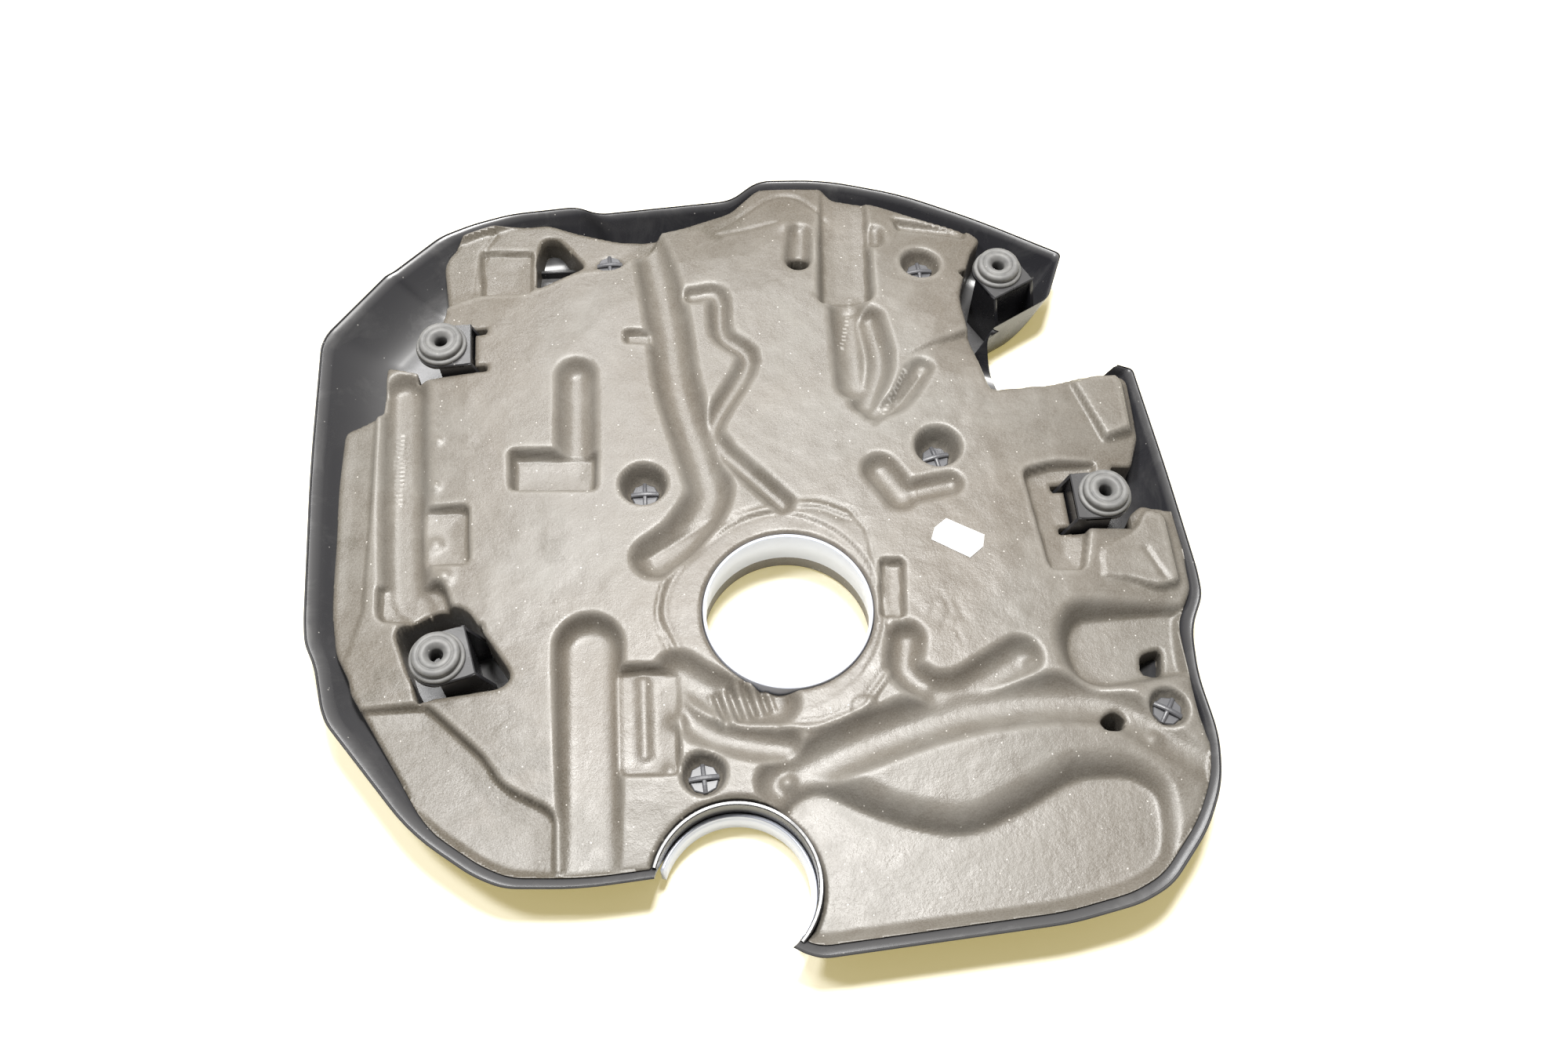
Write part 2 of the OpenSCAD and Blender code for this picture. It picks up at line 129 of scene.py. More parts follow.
square = rounded(same_rounding([(0, 0), (0, 9), (9, 9), (9, 0)], 2))
print("a square with rounded corners has", len(square), "points")

# %% [markdown]
# ## Rim
# The rim is the cover's longest line, drawn corner by corner from the photograph. Inside it, the dish is
# the same outline drawn smaller, so each place has a share of the way from the dish centre: 0 there and 1
# at the rim. The share could be read from the corners alone, but that is a few millimetres out along a
# straight side, so it is read from points that lie close together.

# %% Rim, and the share of the way to it
RIM = [(-174, 328, 10), (-127, 332, 8), (-112, 324, 8), (-17, 331, 9), (4, 349, 10),
       (52, 347, 20), (107, 330, 20), (160, 302, 20), (214, 268, 4), (198, 229, 6),
       (155, 205, 3), (245, 166, 3), (251, 86, 18), (255, 12, 8), (254, -4, 6),
       (243, -25, 9), (240, -55, 12), (244, -94, 12), (239, -122, 12), (225, -148, 12),
       (199, -177, 9), (180, -186, 9), (140, -194, 12), (4, -203, 6), (-5, -200, 3),
       (-83, -154, 3), (-125, -157, 16), (-167, -154, 8), (-184, -146, 8), (-219, -120, 20),
       (-271, -52, 5), (-275, -42, 5), (-281, -15, 7), (-288, 0, 6), (-290, 16, 7),
       (-296, 121, 30), (-298, 219, 5), (-295, 229, 5), (-259, 277, 3), (-254, 280, 3),
       (-223, 310, 7), (-201, 320, 8)]
DISH_CENTRE = np.array((20.0, 150.0))
DISH_RADIUS = 280.0
RIM_POINT_GAP = 3
rim = rounded(RIM, 5)
rim_close = []
for a, b in zip(rim, np.roll(rim, -1, axis=0)):
    shares = np.linspace(0, 1, 2 + int(np.linalg.norm(b - a) / RIM_POINT_GAP))[:-1, None]
    rim_close.append(a + (b - a) * shares)
rim_from_centre = np.vstack(rim_close) - DISH_CENTRE
rim_angle = np.arctan2(rim_from_centre[:, 1], rim_from_centre[:, 0])
rim_order = np.argsort(rim_angle)
rim_reach = np.linalg.norm(rim_from_centre, axis=1)


def rim_distance(x, y):
    """How far the rim is from the dish centre in the direction of each point."""
    angle = np.arctan2(y - DISH_CENTRE[1], x - DISH_CENTRE[0])
    return np.interp(angle, rim_angle[rim_order], rim_reach[rim_order], period=2 * math.pi)


def rim_share(x, y):
    """0 at the dish centre, 1 at the rim."""
    return np.hypot(x - DISH_CENTRE[0], y - DISH_CENTRE[1]) / rim_distance(x, y)


print("rim outline:", len(rim), "points,", np.ptp(rim, axis=0).round(1), "mm")

# %% [markdown]
# ## Distances
# The foam's face is a height over a flat grid. Each trough and pocket is told by how far a point is from
# its line or outline, because a distance gives clean walls and soft edges with one formula.

# %% Distance to a line of points
def distance_to_path(x, y, path):
    """Distance to a line of points, and how far along it the nearest point is."""
    best = np.full(x.shape, 1e9)
    along = np.zeros(x.shape)
    start = 0.0
    for a, b in zip(path[:-1], path[1:]):
        d = b - a
        length = np.linalg.norm(d)
        t = np.clip(((x - a[0]) * d[0] + (y - a[1]) * d[1]) / (length * length), 0, 1)
        r = np.hypot(x - a[0] - t * d[0], y - a[1] - t * d[1])
        nearer = r < best
        best = np.where(nearer, r, best)
        along = np.where(nearer, start + t * length, along)
        start += length
    return best, along


trial = distance_to_path(np.array([5.0]), np.array([3.0]), np.array([[0, 0], [9, 0]]))[0]
print("a point 3 mm from a line measures", trial[0], "mm")

# %% Distance to a closed outline
FAR_AWAY = 1e3


def distance_to_outline(x, y, pts, reach=None):
    """Signed distance to a closed outline, less than 0 inside. Points beyond reach get FAR_AWAY."""
    out = np.full(x.shape, FAR_AWAY)
    if reach is None:
        near = np.ones(x.shape, bool)
    else:
        low, high = pts.min(0) - reach, pts.max(0) + reach
        near = (x > low[0]) & (x < high[0]) & (y > low[1]) & (y < high[1])
    px, py = x[near], y[near]
    best = np.full(px.shape, 1e9)
    inside = np.zeros(px.shape, bool)
    for a, b in zip(pts, np.roll(pts, -1, axis=0)):
        d = b - a
        size = d @ d
        if size < 1e-12:
            continue
        t = np.clip(((px - a[0]) * d[0] + (py - a[1]) * d[1]) / size, 0, 1)
        best = np.minimum(best, (px - a[0] - t * d[0]) ** 2 + (py - a[1] - t * d[1]) ** 2)
        crosses = (a[1] > py) != (b[1] > py)
        side = px < a[0] + (py - a[1]) * d[0] / (d[1] if abs(d[1]) > 1e-12 else 1e-12)
        inside ^= crosses & side
    out[near] = np.sqrt(best) * np.where(inside, -1, 1)
    return out


trial = distance_to_outline(np.array([4.5]), np.array([4.5]), square)
print("the middle of the square of 9 mm is at", trial.round(1)[0], "mm")

# %% Soft joins between heights
def soft_min(a, b, k):
    """The lower of two heights, blended over k where they cross."""
    h = np.clip(0.5 + 0.5 * (b - a) / k, 0, 1)
    return b * (1 - h) + a * h - k * h * (1 - h)


def soft_max(a, b, k):
    return -soft_min(-a, -b, k)


def smooth_step(x, low, high):
    """0 up to low, 1 from high on, and a smooth rise between them."""
    t = np.clip((x - low) / (high - low), 0, 1)
    return t * t * (3 - 2 * t)


print("two heights of 5 mm, joined over 2 mm:", soft_min(5.0, 5.0, 2.0), "mm")

# %% [markdown]
# ## Foam relief
# A polyurethane pad like this is poured into a closed mould that has the engine's shape, so its face has a
# trough for every hose and a pocket for every bracket. On the computer a height over a flat grid does the
# same, because the mould can only hold shapes that pull straight out. The heights below are in millimetres
# above the table.

# %% Troughs for hoses and pipes
# floor height, half width, path, and how flat the floor is where it isn't round
TROUGHS = [
    (36.5, 12, [(-76, 296), (-66, 230), (-60, 165), (-46, 104), (-44, 80), (-60, 54), (-78, 40)]),
    (41, 5, [(-48, 240), (-31, 239), (-29, 206), (-13, 183), (-38, 135), (-34, 116), (-22, 101), (2, 73)]),
    (38, 11, [(-126, 178), (-126, 110)]),
    (30, 11, [(-239, 175), (-231, 40), (-222, 20)], 4.0),
    (34, 18, [(-119, -16), (-119, -170)], 6.0),
    (34.5, 14, [(-12, -106), (36, -86), (107, -68), (176, -70), (214, -95), (245, -122)]),
    (38.5, 8, [(68, -24), (66, -44), (84, -60)]),
    (37, 11, [(84, -60), (100, -58), (134, -40)]),
    (38.5, 11, [(57, 232), (56, 160)]),
    (38.5, 7.5, [(70, 212), (73, 178), (62, 146)]),
    (41, 6, [(66, 138), (84, 146), (101, 170)]),
    (40, 10, [(65, 93), (76, 74)]),
    (42, 7, [(76, 74), (108, 80)]),
    (36.5, 13, [(-67, -37), (-51, -48), (-31, -57), (-12, -58)]),
    (37.5, 9, [(-71, -44), (-65, -61), (-50, -74), (-30, -81), (-7, -86)]),
    (39, 8, [(30, 294), (27, 268)]),
    (38, 6, [(83, 293), (82, 284)])]
print("troughs:", len(TROUGHS))

# %% Pockets for brackets, and gaps right through the pad
# floor height, corner rounding, corners, and how soft the wall is (0 is steep, 1 is a bowl)
POCKETS = [
    (36, 6, [(-170, 125), (-111, 121), (-112, 88), (-169, 92)], 0.25),
    (41, 4, [(-95, 214), (-74, 212), (-74, 199), (-95, 201)]),
    (36, 6, [(-223, 88), (-192, 86), (-190, 43), (-221, 45)]),
    (31.2, 8, [(-248, 38), (-206, 34), (-198, 8), (-246, 10)]),
    (35, 6, [(-104, -29), (-65, -31), (-67, -98), (-104, -96)]),
    (41, 5, [(57, 31), (74, 29), (70, -12), (53, -10)]),
    (29, 14, [(157, -24), (170, -4), (222, -3), (262, -5), (262, -56), (212, -61), (178, -65),
              (160, -52)], 0.8),
    (36, 6, [(155, 88), (177, 94), (206, 94), (184, 15), (161, 16)]),
    (29.6, 14, [(8, -96), (51, -119), (88, -130), (124, -116), (154, -100), (192, -101), (213, -118),
                (212, -148), (200, -178), (100, -240), (-20, -240), (-20, -110)], 1.0),
    (25, 6, [(-196, 302), (-156, 299), (-156, 252), (-194, 254)]),
    (35, 8, [(46, 370), (88, 370), (77, 226), (36, 226)], 0.4),
    (33, 5, [(92, 312), (156, 298), (150, 280), (96, 291)], 0.5),
    (32, 8, [(-213, -42), (-178, -77), (-168, -94), (-137, -112), (-137, -200), (-320, -200), (-320, -42)]),
    (30.8, 6, [(-260, 250), (-260, 360), (-62, 360), (-62, 312), (-74, 285), (-99, 270), (-127, 266),
               (-150, 254), (-180, 254), (-200, 250), (-226, 238)]),
    (35, 3, [(-300, 190), (-254, 190), (-252, 20), (-262, -20), (-300, -20)])]
# corner rounding, corners of the openings right through the pad
GAPS = [
    (5, [(-151, 309), (-141, 309), (-121, 282), (-156, 264), (-156, 290)]),
    (8, [(-235, 5), (-213, 19), (-192, 15), (-163, -31), (-169, -38), (-214, -41), (-224, -26)]),
    (5, [(210, -36), (224, -33), (220, -52), (208, -49)]),
    (5, [(176, -78), (186, -72), (193, -80), (186, -87), (176, -87)])]
print("pockets:", len(POCKETS), " gaps:", len(GAPS))

# %% Blocks that stand up, and the pad's edge
# top height, corner rounding, corners
BLOCKS = [
    (46, 4, [(196, 155), (214, 161), (231, 160), (235, 154), (234, 114), (212, 106)]),
    (43, 6, [(193, 32), (217, 44), (228, 60), (243, 54), (243, 3), (226, -1), (208, 6), (190, 8)])]
FOAM_EDGE = rounded([
    (-214, 240, 5), (-220, 291, 8), (-202, 318, 8), (-147, 322, 5), (-127, 313, 6),
    (-97, 303, 6), (-74, 301, 6), (-52, 306, 6), (-18, 320, 6), (3, 342, 6), (50, 340, 3),
    (56, 330, 3), (87, 321, 6), (121, 304, 8), (151, 293, 6), (158, 284, 4), (149, 270, 4),
    (144, 256, 6), (134, 228, 10), (138, 188, 10), (144, 149, 6), (185, 153, 8),
    (210, 161, 5), (234, 162, 5), (239, 157, 4), (237, 113, 4), (228, 90, 3), (214, 90, 2),
    (214, 50, 2), (228, 61, 3), (250, 57, 5), (248, 2, 5), (236, -19, 8), (235, -39, 8),
    (235, -74, 10), (238, -103, 10), (234, -129, 8), (224, -153, 8), (210, -168, 6),
    (184, -187, 8), (111, -196, 8), (6, -204, 3), (-5, -192, 3), (-87, -149, 3),
    (-125, -152, 8), (-168, -147, 8), (-186, -140, 6), (-213, -111, 10), (-258, -33, 3),
    (-260, -24, 3), (-269, -7, 6), (-274, 24, 10), (-275, 65, 10), (-277, 110, 10),
    (-276, 150, 4), (-252, 161, 3), (-251, 197, 3), (-226, 189, 3)], 4)
print("blocks:", len(BLOCKS), " points on the pad's edge:", len(FOAM_EDGE))

# %% [markdown]
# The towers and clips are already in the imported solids. Their places could be typed again here, but reading
# them from the solids keeps both models together. Only their turns are written down, because a box doesn't
# show a turn.

# %% Towers, clips and cut-out
TOWER_TURNS = {"grommet_rear_left": 2, "grommet_rear_right": -62, "grommet_right": 180,
               "grommet_front_left": 14}
CLIP_TURNS = [2, 3, 12, 0, 4, -33]


def solid_middle(node):
    """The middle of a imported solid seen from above, in millimetres."""
    low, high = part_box(node)
    return [round((low[axis] + high[axis]) / 2 / MM, 1) for axis in (0, 1)]


TOWERS = [(*solid_middle(node), turn) for node, turn in TOWER_TURNS.items()]
CLIPS = [(*solid_middle("retainer_%d" % number), turn) for number, turn in enumerate(CLIP_TURNS, 1)]
CUTOUT_CENTRE = np.array((-40.0, -160.0))
print("towers:", TOWERS)
print("clips:", CLIPS)

# %% [markdown]
# The face starts as a low cushion that falls towards the rim. Hoses leave round troughs, brackets leave
# flat pockets with steep sides, and all edges are soft because foam skin can't take a sharp corner. The
# small ripples come last: a ribbed bellows, a corrugated pipe and the puckers that foam skin gets when it
# shrinks.

# %% Beads, creases and bumps
RING_BEAD = smooth_path([(42, 61), (22, 70), (-5, 69), (-32, 60), (-55, 42), (-70, 26), (-77, 2), (-69, -22)])
RING_BEAD_FRONT = smooth_path([(-9, -74), (12, -75), (29, -70), (39, -66), (47, -56), (57, -44)])
SLIT = np.array([(42, 66), (52, 50), (56, 15), (59, -21)], float)
STRAP = smooth_path([(-200, 2), (-196, 8), (-189, 8), (-176, -16), (-168, -27)])
BAR_IN_POCKET = np.array([(-88, -38), (-88, -82)], float)
# path and depth
CREASES = [
    ([(100, 166), (84, 146), (66, 127)], 1.3), ([(92, 172), (80, 146)], 1.0),
    ([(-30, 300), (-7, 317), (13, 331), (31, 330), (50, 308)], 1.3),
    ([(-30, 296), (-4, 300), (16, 304)], 1.0), ([(224, 28), (232, 8)], 1.2),
    ([(-90, 40), (-70, 52), (-40, 70)], 0.8), ([(36, 235), (47, 222), (69, 225), (76, 238)], 1.0),
    ([(-196, 262), (-193, 296), (-184, 316)], 1.2), ([(92, 4), (96, -8), (90, -18)], 0.25),
    ([(100, -2), (104, -14)], 0.25), ([(88, -4), (84, -12)], 0.2), ([(98, -20), (101, -30)], 0.25)]
# place, width and height
BUMPS = [(-69, -64, 5, 3.0), (-74, -92, 4, 2.0), (205, -92, 4, 2.2), (-213, 62, 5, 2.0), (-8, -104, 4, 3.4),
         (140, -42, 3, 1.5), (-214, 134, 3, 2.0), (-214, 100, 3, 2.2), (-206, 36, 5, 3.0), (20, 300, 6, 2.0)]
print("creases:", len(CREASES), " bumps:", len(BUMPS))

# %% Seat of the foam, soft noise and ribs
SEAT_SHARES = [0.5, 0.84, 0.9, 0.937, 0.981, 0.992]
SEAT_HEIGHTS = [2.9, 4.6, 11.4, 20.9, 36.0, 39.8]


def seat_height(x, y):
    """Where the foam rests on the inside of the shell."""
    return np.interp(rim_share(x, y), SEAT_SHARES, SEAT_HEIGHTS)


def smooth_noise(x, y, size, seed):
    """A soft random field from -1 to 1 with bumps about size across, the same at every run."""
    table = np.random.default_rng(seed).uniform(-1, 1, (64, 64))
    u, v = x / size + 31.7, y / size + 17.3
    i, j = np.floor(u).astype(int), np.floor(v).astype(int)
    fu, fv = u - i, v - j
    fu, fv = fu * fu * (3 - 2 * fu), fv * fv * (3 - 2 * fv)
    a, b = table[i % 64, j % 64], table[(i + 1) % 64, j % 64]
    c, d = table[i % 64, (j + 1) % 64], table[(i + 1) % 64, (j + 1) % 64]
    return (a * (1 - fu) + b * fu) * (1 - fv) + (c * (1 - fu) + d * fu) * fv


def ripple(x, y, centre, angle, half_length, half_width, pitch):
    """Ribs across a strip: a wave along its length that fades at its ends and sides."""
    c, s = math.cos(math.radians(angle)), math.sin(math.radians(angle))
    along = (x - centre[0]) * c + (y - centre[1]) * s
    across = -(x - centre[0]) * s + (y - centre[1]) * c
    fade = (1 - smooth_step(np.abs(along), half_length - pitch / 2, half_length)) \
        * (1 - smooth_step(np.abs(across), half_width * 0.7, half_width))
    return fade * np.cos(2 * math.pi * along / pitch)


def ridge(distance, width):
    """1 on a line, falling away like a bell on both sides of it."""
    return np.exp(-(distance / width) ** 2)


print("seat at half way and near the rim:", np.interp([0.5, 0.98], SEAT_SHARES, SEAT_HEIGHTS).round(1), "mm")

# %% Large forms of the foam: cushion, blocks, ring, troughs and pockets
CUSHION_SHARES = [0.5, 0.68, 0.82, 0.92, 0.978]
CUSHION_HEIGHTS = [48.0, 45.5, 41.0, 37.5, 36.0]
RING_CENTRE = (-10, 0)
RING_RADIUS = 66.0
RING_TOP = 46.5
CLIP_SEAT = 31.0
CLIP_RECESS_RADIUS = 9.6


def with_troughs(x, y, z):
    """Each trough has a round floor, and a straight side from where the floor gets too steep."""
    for floor, half, path, *flat in TROUGHS:
        power = flat[0] if flat else 2.6
        d = distance_to_path(x, y, smooth_path(path))[0]
        rise = 0.55 * half if not flat else 0.35 * half
        bowl = np.where(d < half, floor + rise * (d / half) ** power,
                        floor + rise + (d - half) * min(rise * power / half, 3.2))
        z = soft_min(z, bowl, 3.4)
    return z


def with_pockets(x, y, z):
    """Each pocket has a nearly flat floor and a wall as steep as its softness allows."""
    for floor, bend, corners, *soft in POCKETS:
        soft = soft[0] if soft else 0.0
        d = distance_to_outline(x, y, rounded(same_rounding(corners, bend), 4), 40)
        slope, inset = 3.4 - 2.2 * soft, 2.5 + 8.0 * soft
        wall = floor + 0.10 * np.clip(d + 14, 0, 14) + np.clip(d + inset, 0, 60) * slope
        z = np.where(d < 30, soft_min(z, wall, 2.6 + 5.0 * soft), z)
    for cx, cy, _ in CLIPS:
        d = np.hypot(x - cx, y - cy)
        z = soft_min(z, CLIP_SEAT + np.clip(d - CLIP_RECESS_RADIUS, 0, 60) * 2.9, 2.6)
    return z


def large_forms(x, y):
    """The cushion with its blocks, its ring, soft unevenness, troughs and pockets."""
    z = np.interp(rim_share(x, y), CUSHION_SHARES, CUSHION_HEIGHTS)
    for top, bend, corners in BLOCKS:
        d = distance_to_outline(x, y, rounded(same_rounding(corners, bend), 4), 30)
        z = np.where(d < 20, soft_max(z, top - np.clip(d + 4, 0, 40) * 2.2, 3.0), z)
    ring = np.hypot(x - RING_CENTRE[0], y - RING_CENTRE[1])
    z = soft_min(z, RING_TOP + np.clip(ring - RING_RADIUS, 0, 60) * 2.5, 0.8)
    z = z + 0.35 * smooth_noise(x, y, 34, 1) + 0.16 * smooth_noise(x, y, 9, 2)
    return with_pockets(x, y, with_troughs(x, y, z))


probe = large_forms(np.array([-10.0, -119.0, 190.0]), np.array([150.0, -80.0, -30.0]))
print("foam height at the middle, a trough and a pocket:", probe.round(1), "mm")

# %% Small forms of the foam, and its height at any place
def small_forms(x, y, z):
    """Ribs, beads, the strap, the round mark, the slit, creases and bumps on the large forms."""
    z = z + 2.2 * ripple(x, y, (-31, -55), 16, 19, 13, 8.4)
    z = z + 0.55 * ripple(x, y, (-240, 122), 92, 26, 3.2, 3.6)
    z = z + 0.35 * ripple(x, y, (70, 196), 80, 28, 2.6, 3.4)
    d = np.minimum(distance_to_path(x, y, RING_BEAD)[0], distance_to_path(x, y, RING_BEAD_FRONT)[0])
    z = z + smooth_step(z, 42.5, 44.5) * (0.9 * ridge(d, 1.6) - 0.5 * ridge(d - 3.4, 1.6))
    z = z + 1.5 * ridge(distance_to_path(x, y, STRAP)[0], 1.5)
    round_mark = np.hypot(x - 39, y + 66)
    z = z + 1.1 * (1 - smooth_step(round_mark, 6.2, 8.4)) * (z > 43)
    z = z - 0.9 * ridge(distance_to_path(x, y, SLIT)[0], 0.9)
    for points, deep in CREASES:
        z = z - deep * ridge(distance_to_path(x, y, smooth_path(points))[0], 1.5)
    z = z + 2.2 * ridge(distance_to_path(x, y, BAR_IN_POCKET)[0], 4.0)
    for bx, by, wide, high in BUMPS:
        z = z + high * np.exp(-((x - bx) ** 2 + (y - by) ** 2) / wide ** 2)
    return z


def foam_height(x, y):
    """The face of the pad, never thinner than 1.6 mm over its seat."""
    z = small_forms(x, y, large_forms(x, y))
    return soft_max(z, seat_height(x, y) + 1.6, 2.0)


probe = foam_height(np.array([-31.0, 39.0]), np.array([-55.0, -66.0]))
print("foam height at the bellows and the round mark:", probe.round(1), "mm")

# %% Where there is foam
TOWER_WALL = 2.5
TOWER_SIDE = 15.25
CLIP_HOLE_RADIUS = 7.2
SPARE_HOLE = (27, 265)
COLLAR_OPENING_RADIUS = 51.6
CUTOUT_OPENING_RADIUS = 48.2
FOAM_RIM_SHARE = 0.977
# middle and half length along the tower, and half width
TOWER_OPENING = (1.0, 19.0, 18.0)
SIDE_WALL_SLOT = (19.0, 9.0, 2.25)


def foam_domain(x, y):
    """Less than 0 where there is foam, more than 0 outside it and in its openings."""
    d = distance_to_outline(x, y, FOAM_EDGE)
    for bend, corners in GAPS:
        d = np.maximum(d, -distance_to_outline(x, y, rounded(same_rounding(corners, bend), 4), 30))
    for tx, ty, turn in TOWERS:
        c, s = math.cos(math.radians(turn)), math.sin(math.radians(turn))
        u, v = (x - tx) * c + (y - ty) * s, -(x - tx) * s + (y - ty) * c
        middle, half_length, half_width = TOWER_OPENING
        body = np.maximum(np.abs(u - middle) - half_length, np.abs(v) - half_width)
        middle, half_length, half_width = SIDE_WALL_SLOT
        slots = np.maximum(np.abs(u - middle) - half_length, np.abs(np.abs(v) - TOWER_SIDE) - half_width)
        d = np.maximum(d, -np.minimum(body, slots))
    for cx, cy, _ in CLIPS:
        d = np.maximum(d, CLIP_HOLE_RADIUS - np.hypot(x - cx, y - cy))
    d = np.maximum(d, CLIP_HOLE_RADIUS - np.hypot(x - SPARE_HOLE[0], y - SPARE_HOLE[1]))
    d = np.maximum(d, COLLAR_OPENING_RADIUS - np.hypot(x, y))
    d = np.maximum(d, CUTOUT_OPENING_RADIUS - np.hypot(x - CUTOUT_CENTRE[0], y - CUTOUT_CENTRE[1]))
    return np.maximum(d, (rim_share(x, y) - FOAM_RIM_SHARE) * DISH_RADIUS)


probe = -foam_domain(np.array([-10.0]), np.array([150.0]))
print("the foam's middle is", probe.round(1), "mm from its edge")

# %% [markdown]
# The grid is cut along the line where the foam ends, and each new edge point is put exactly on that line.
# Deleting whole squares would be simpler, but it would leave a staircase at every opening.

# %% Cut a grid along an outline
def cut_grid(step, x_range, y_range, domain, limit=0.0):
    """Triangles of a grid, cut where domain = limit: places, triangles and the open edge pairs."""
    # squares of the grid, each split into two triangles, the other way in every second square
    xs, ys = np.arange(*x_range, step), np.arange(*y_range, step)
    gx, gy = np.meshgrid(xs, ys, indexing="ij")
    flat_x, flat_y = gx.ravel(), gy.ravel()
    d = domain(flat_x, flat_y) - limit
    d[np.abs(d) < 0.02 * step] = -0.02 * step
    index = np.arange(len(flat_x)).reshape(gx.shape)
    a, b, c, e = index[:-1, :-1], index[1:, :-1], index[1:, 1:], index[:-1, 1:]
    odd = (np.add.outer(np.arange(a.shape[0]), np.arange(a.shape[1])) % 2).astype(bool)
    tris = np.concatenate([
        np.stack([a[~odd], b[~odd], c[~odd]], 1), np.stack([a[~odd], c[~odd], e[~odd]], 1),
        np.stack([a[odd], b[odd], e[odd]], 1), np.stack([b[odd], c[odd], e[odd]], 1)])
    # whole triangles stay, and the others have one corner alone on its side of the line
    count = (d[tris] < 0).sum(1)
    kept = [tris[count == 3]]
    mixed = tris[(count == 1) | (count == 2)]
    flags = d[mixed] < 0
    lone = np.where(flags.sum(1) == 1, flags.argmax(1), (~flags).argmax(1))
    rows = np.arange(len(mixed))
    p, q, r = mixed[rows, lone], mixed[rows, (lone + 1) % 3], mixed[rows, (lone + 2) % 3]
    # one new point on each crossed side
    pairs = np.sort(np.concatenate([np.stack([p, q], 1), np.stack([p, r], 1)]), axis=1)
    unique, where = np.unique(pairs, axis=0, return_inverse=True)
    where = where.ravel()
    t = d[unique[:, 0]] / (d[unique[:, 0]] - d[unique[:, 1]])
    new_x = flat_x[unique[:, 0]] * (1 - t) + flat_x[unique[:, 1]] * t
    new_y = flat_y[unique[:, 0]] * (1 - t) + flat_y[unique[:, 1]] * t
    pq, pr = where[: len(mixed)] + len(flat_x), where[len(mixed):] + len(flat_x)
    one = flags.sum(1) == 1
    kept.append(np.stack([p[one], pq[one], pr[one]], 1))
    kept.append(np.stack([pq[~one], q[~one], r[~one]], 1))
    kept.append(np.stack([pq[~one], r[~one], pr[~one]], 1))
    # only the points in use are kept, and a side with no triangle behind it is an open edge
    tris = np.concatenate(kept)
    used, tris = np.unique(tris, return_inverse=True)
    tris = tris.reshape(-1, 3)
    places = np.stack([np.concatenate([flat_x, new_x]), np.concatenate([flat_y, new_y])], 1)[used]
    directed = np.concatenate([tris[:, [0, 1]], tris[:, [1, 2]], tris[:, [2, 0]]])
    key = directed[:, 0] * len(places) + directed[:, 1]
    back = directed[:, 1] * len(places) + directed[:, 0]
    return places, tris, directed[~np.isin(key, back)]


disc = cut_grid(1.0, (-6, 6), (-6, 6), lambda x, y: np.hypot(x, y) - 5)
print("a disc cut from a small grid:", len(disc[0]), "points,", len(disc[1]), "triangles")

# %% Face of the foam
def mesh_object(name, verts_mm, faces, smooth=True):
    """A mesh object in metres from places in millimetres."""
    mesh = bpy.data.meshes.new(name)
    mesh.from_pydata((np.asarray(verts_mm, float) * MM).tolist(), [], [list(map(int, f)) for f in faces])
    mesh.validate()
    if smooth:
        mesh.shade_smooth()
    else:
        mesh.shade_flat()
    obj = bpy.data.objects.new(name, mesh)
    bpy.context.scene.collection.objects.link(obj)
    return obj


def add_values(obj, name, values):
    """One number per vertex, for the material to read."""
    layer = obj.data.attributes.new(name, "FLOAT", "POINT")
    layer.data.foreach_set("value", np.asarray(values, np.float32))


FOAM_GRID = 1.6
FOAM_X = (-284, 256)
FOAM_Y = (-204, 348)
places, tris, edge = cut_grid(FOAM_GRID, FOAM_X, FOAM_Y, foam_domain)
print("foam face:", len(places), "points,", len(tris), "triangles,", len(edge), "edge pairs")

# %% [markdown]
# The pad's upper edge is rolled over a little, and its side is a straight wall down to the shell, made of
# three rows of points below the face's edge. The hidden underside follows the shell. It could have the same
# fine grid as the face, but nobody sees it, so a coarse grid of its own saves many triangles.

# %% Foam pad
EDGE_ROLL = 2.4
UNDERSIDE_GRID = 6.0
depth_in = -foam_domain(places[:, 0], places[:, 1])
top = foam_height(places[:, 0], places[:, 1])
inner = np.clip(depth_in, 0, EDGE_ROLL)
roll_drop = EDGE_ROLL - np.sqrt(np.clip(EDGE_ROLL ** 2 - (EDGE_ROLL - inner) ** 2, 0, None))
seat = seat_height(places[:, 0], places[:, 1])
z = np.maximum(top - roll_drop, seat + 1.0)

edge_points, edge_rows = np.unique(edge, return_inverse=True)
edge_rows = edge_rows.reshape(-1, 2)
edge_top, edge_seat = z[edge_points], seat[edge_points]
side_rows = []
for share_of_top, least in ((0.66, 0.6), (0.33, 0.3), (0.0, 0.0)):
    height = np.maximum(edge_top * share_of_top + edge_seat * (1 - share_of_top), edge_seat + least)
    side_rows.append(np.column_stack([places[edge_points], height]))
verts = np.vstack([np.column_stack([places, z])] + side_rows)
faces = tris.tolist()
start = len(places)
upper = edge
for row in range(len(side_rows)):
    lower = edge_rows + start + row * len(edge_points)
    faces += np.column_stack([upper[:, 1], upper[:, 0], lower[:, 0], lower[:, 1]]).tolist()
    upper = lower
under_places, under_tris, _ = cut_grid(UNDERSIDE_GRID, FOAM_X, FOAM_Y, foam_domain, -0.3)
under_heights = seat_height(under_places[:, 0], under_places[:, 1]) + 0.1
faces += (under_tris[:, ::-1] + len(verts)).tolist()
verts = np.vstack([verts, np.column_stack([under_places, under_heights])])
foam = mesh_object("foam_skin", verts, faces)
print("foam pad:", len(verts), "points,", sum(len(p.vertices) - 2 for p in foam.data.polygons), "triangles")

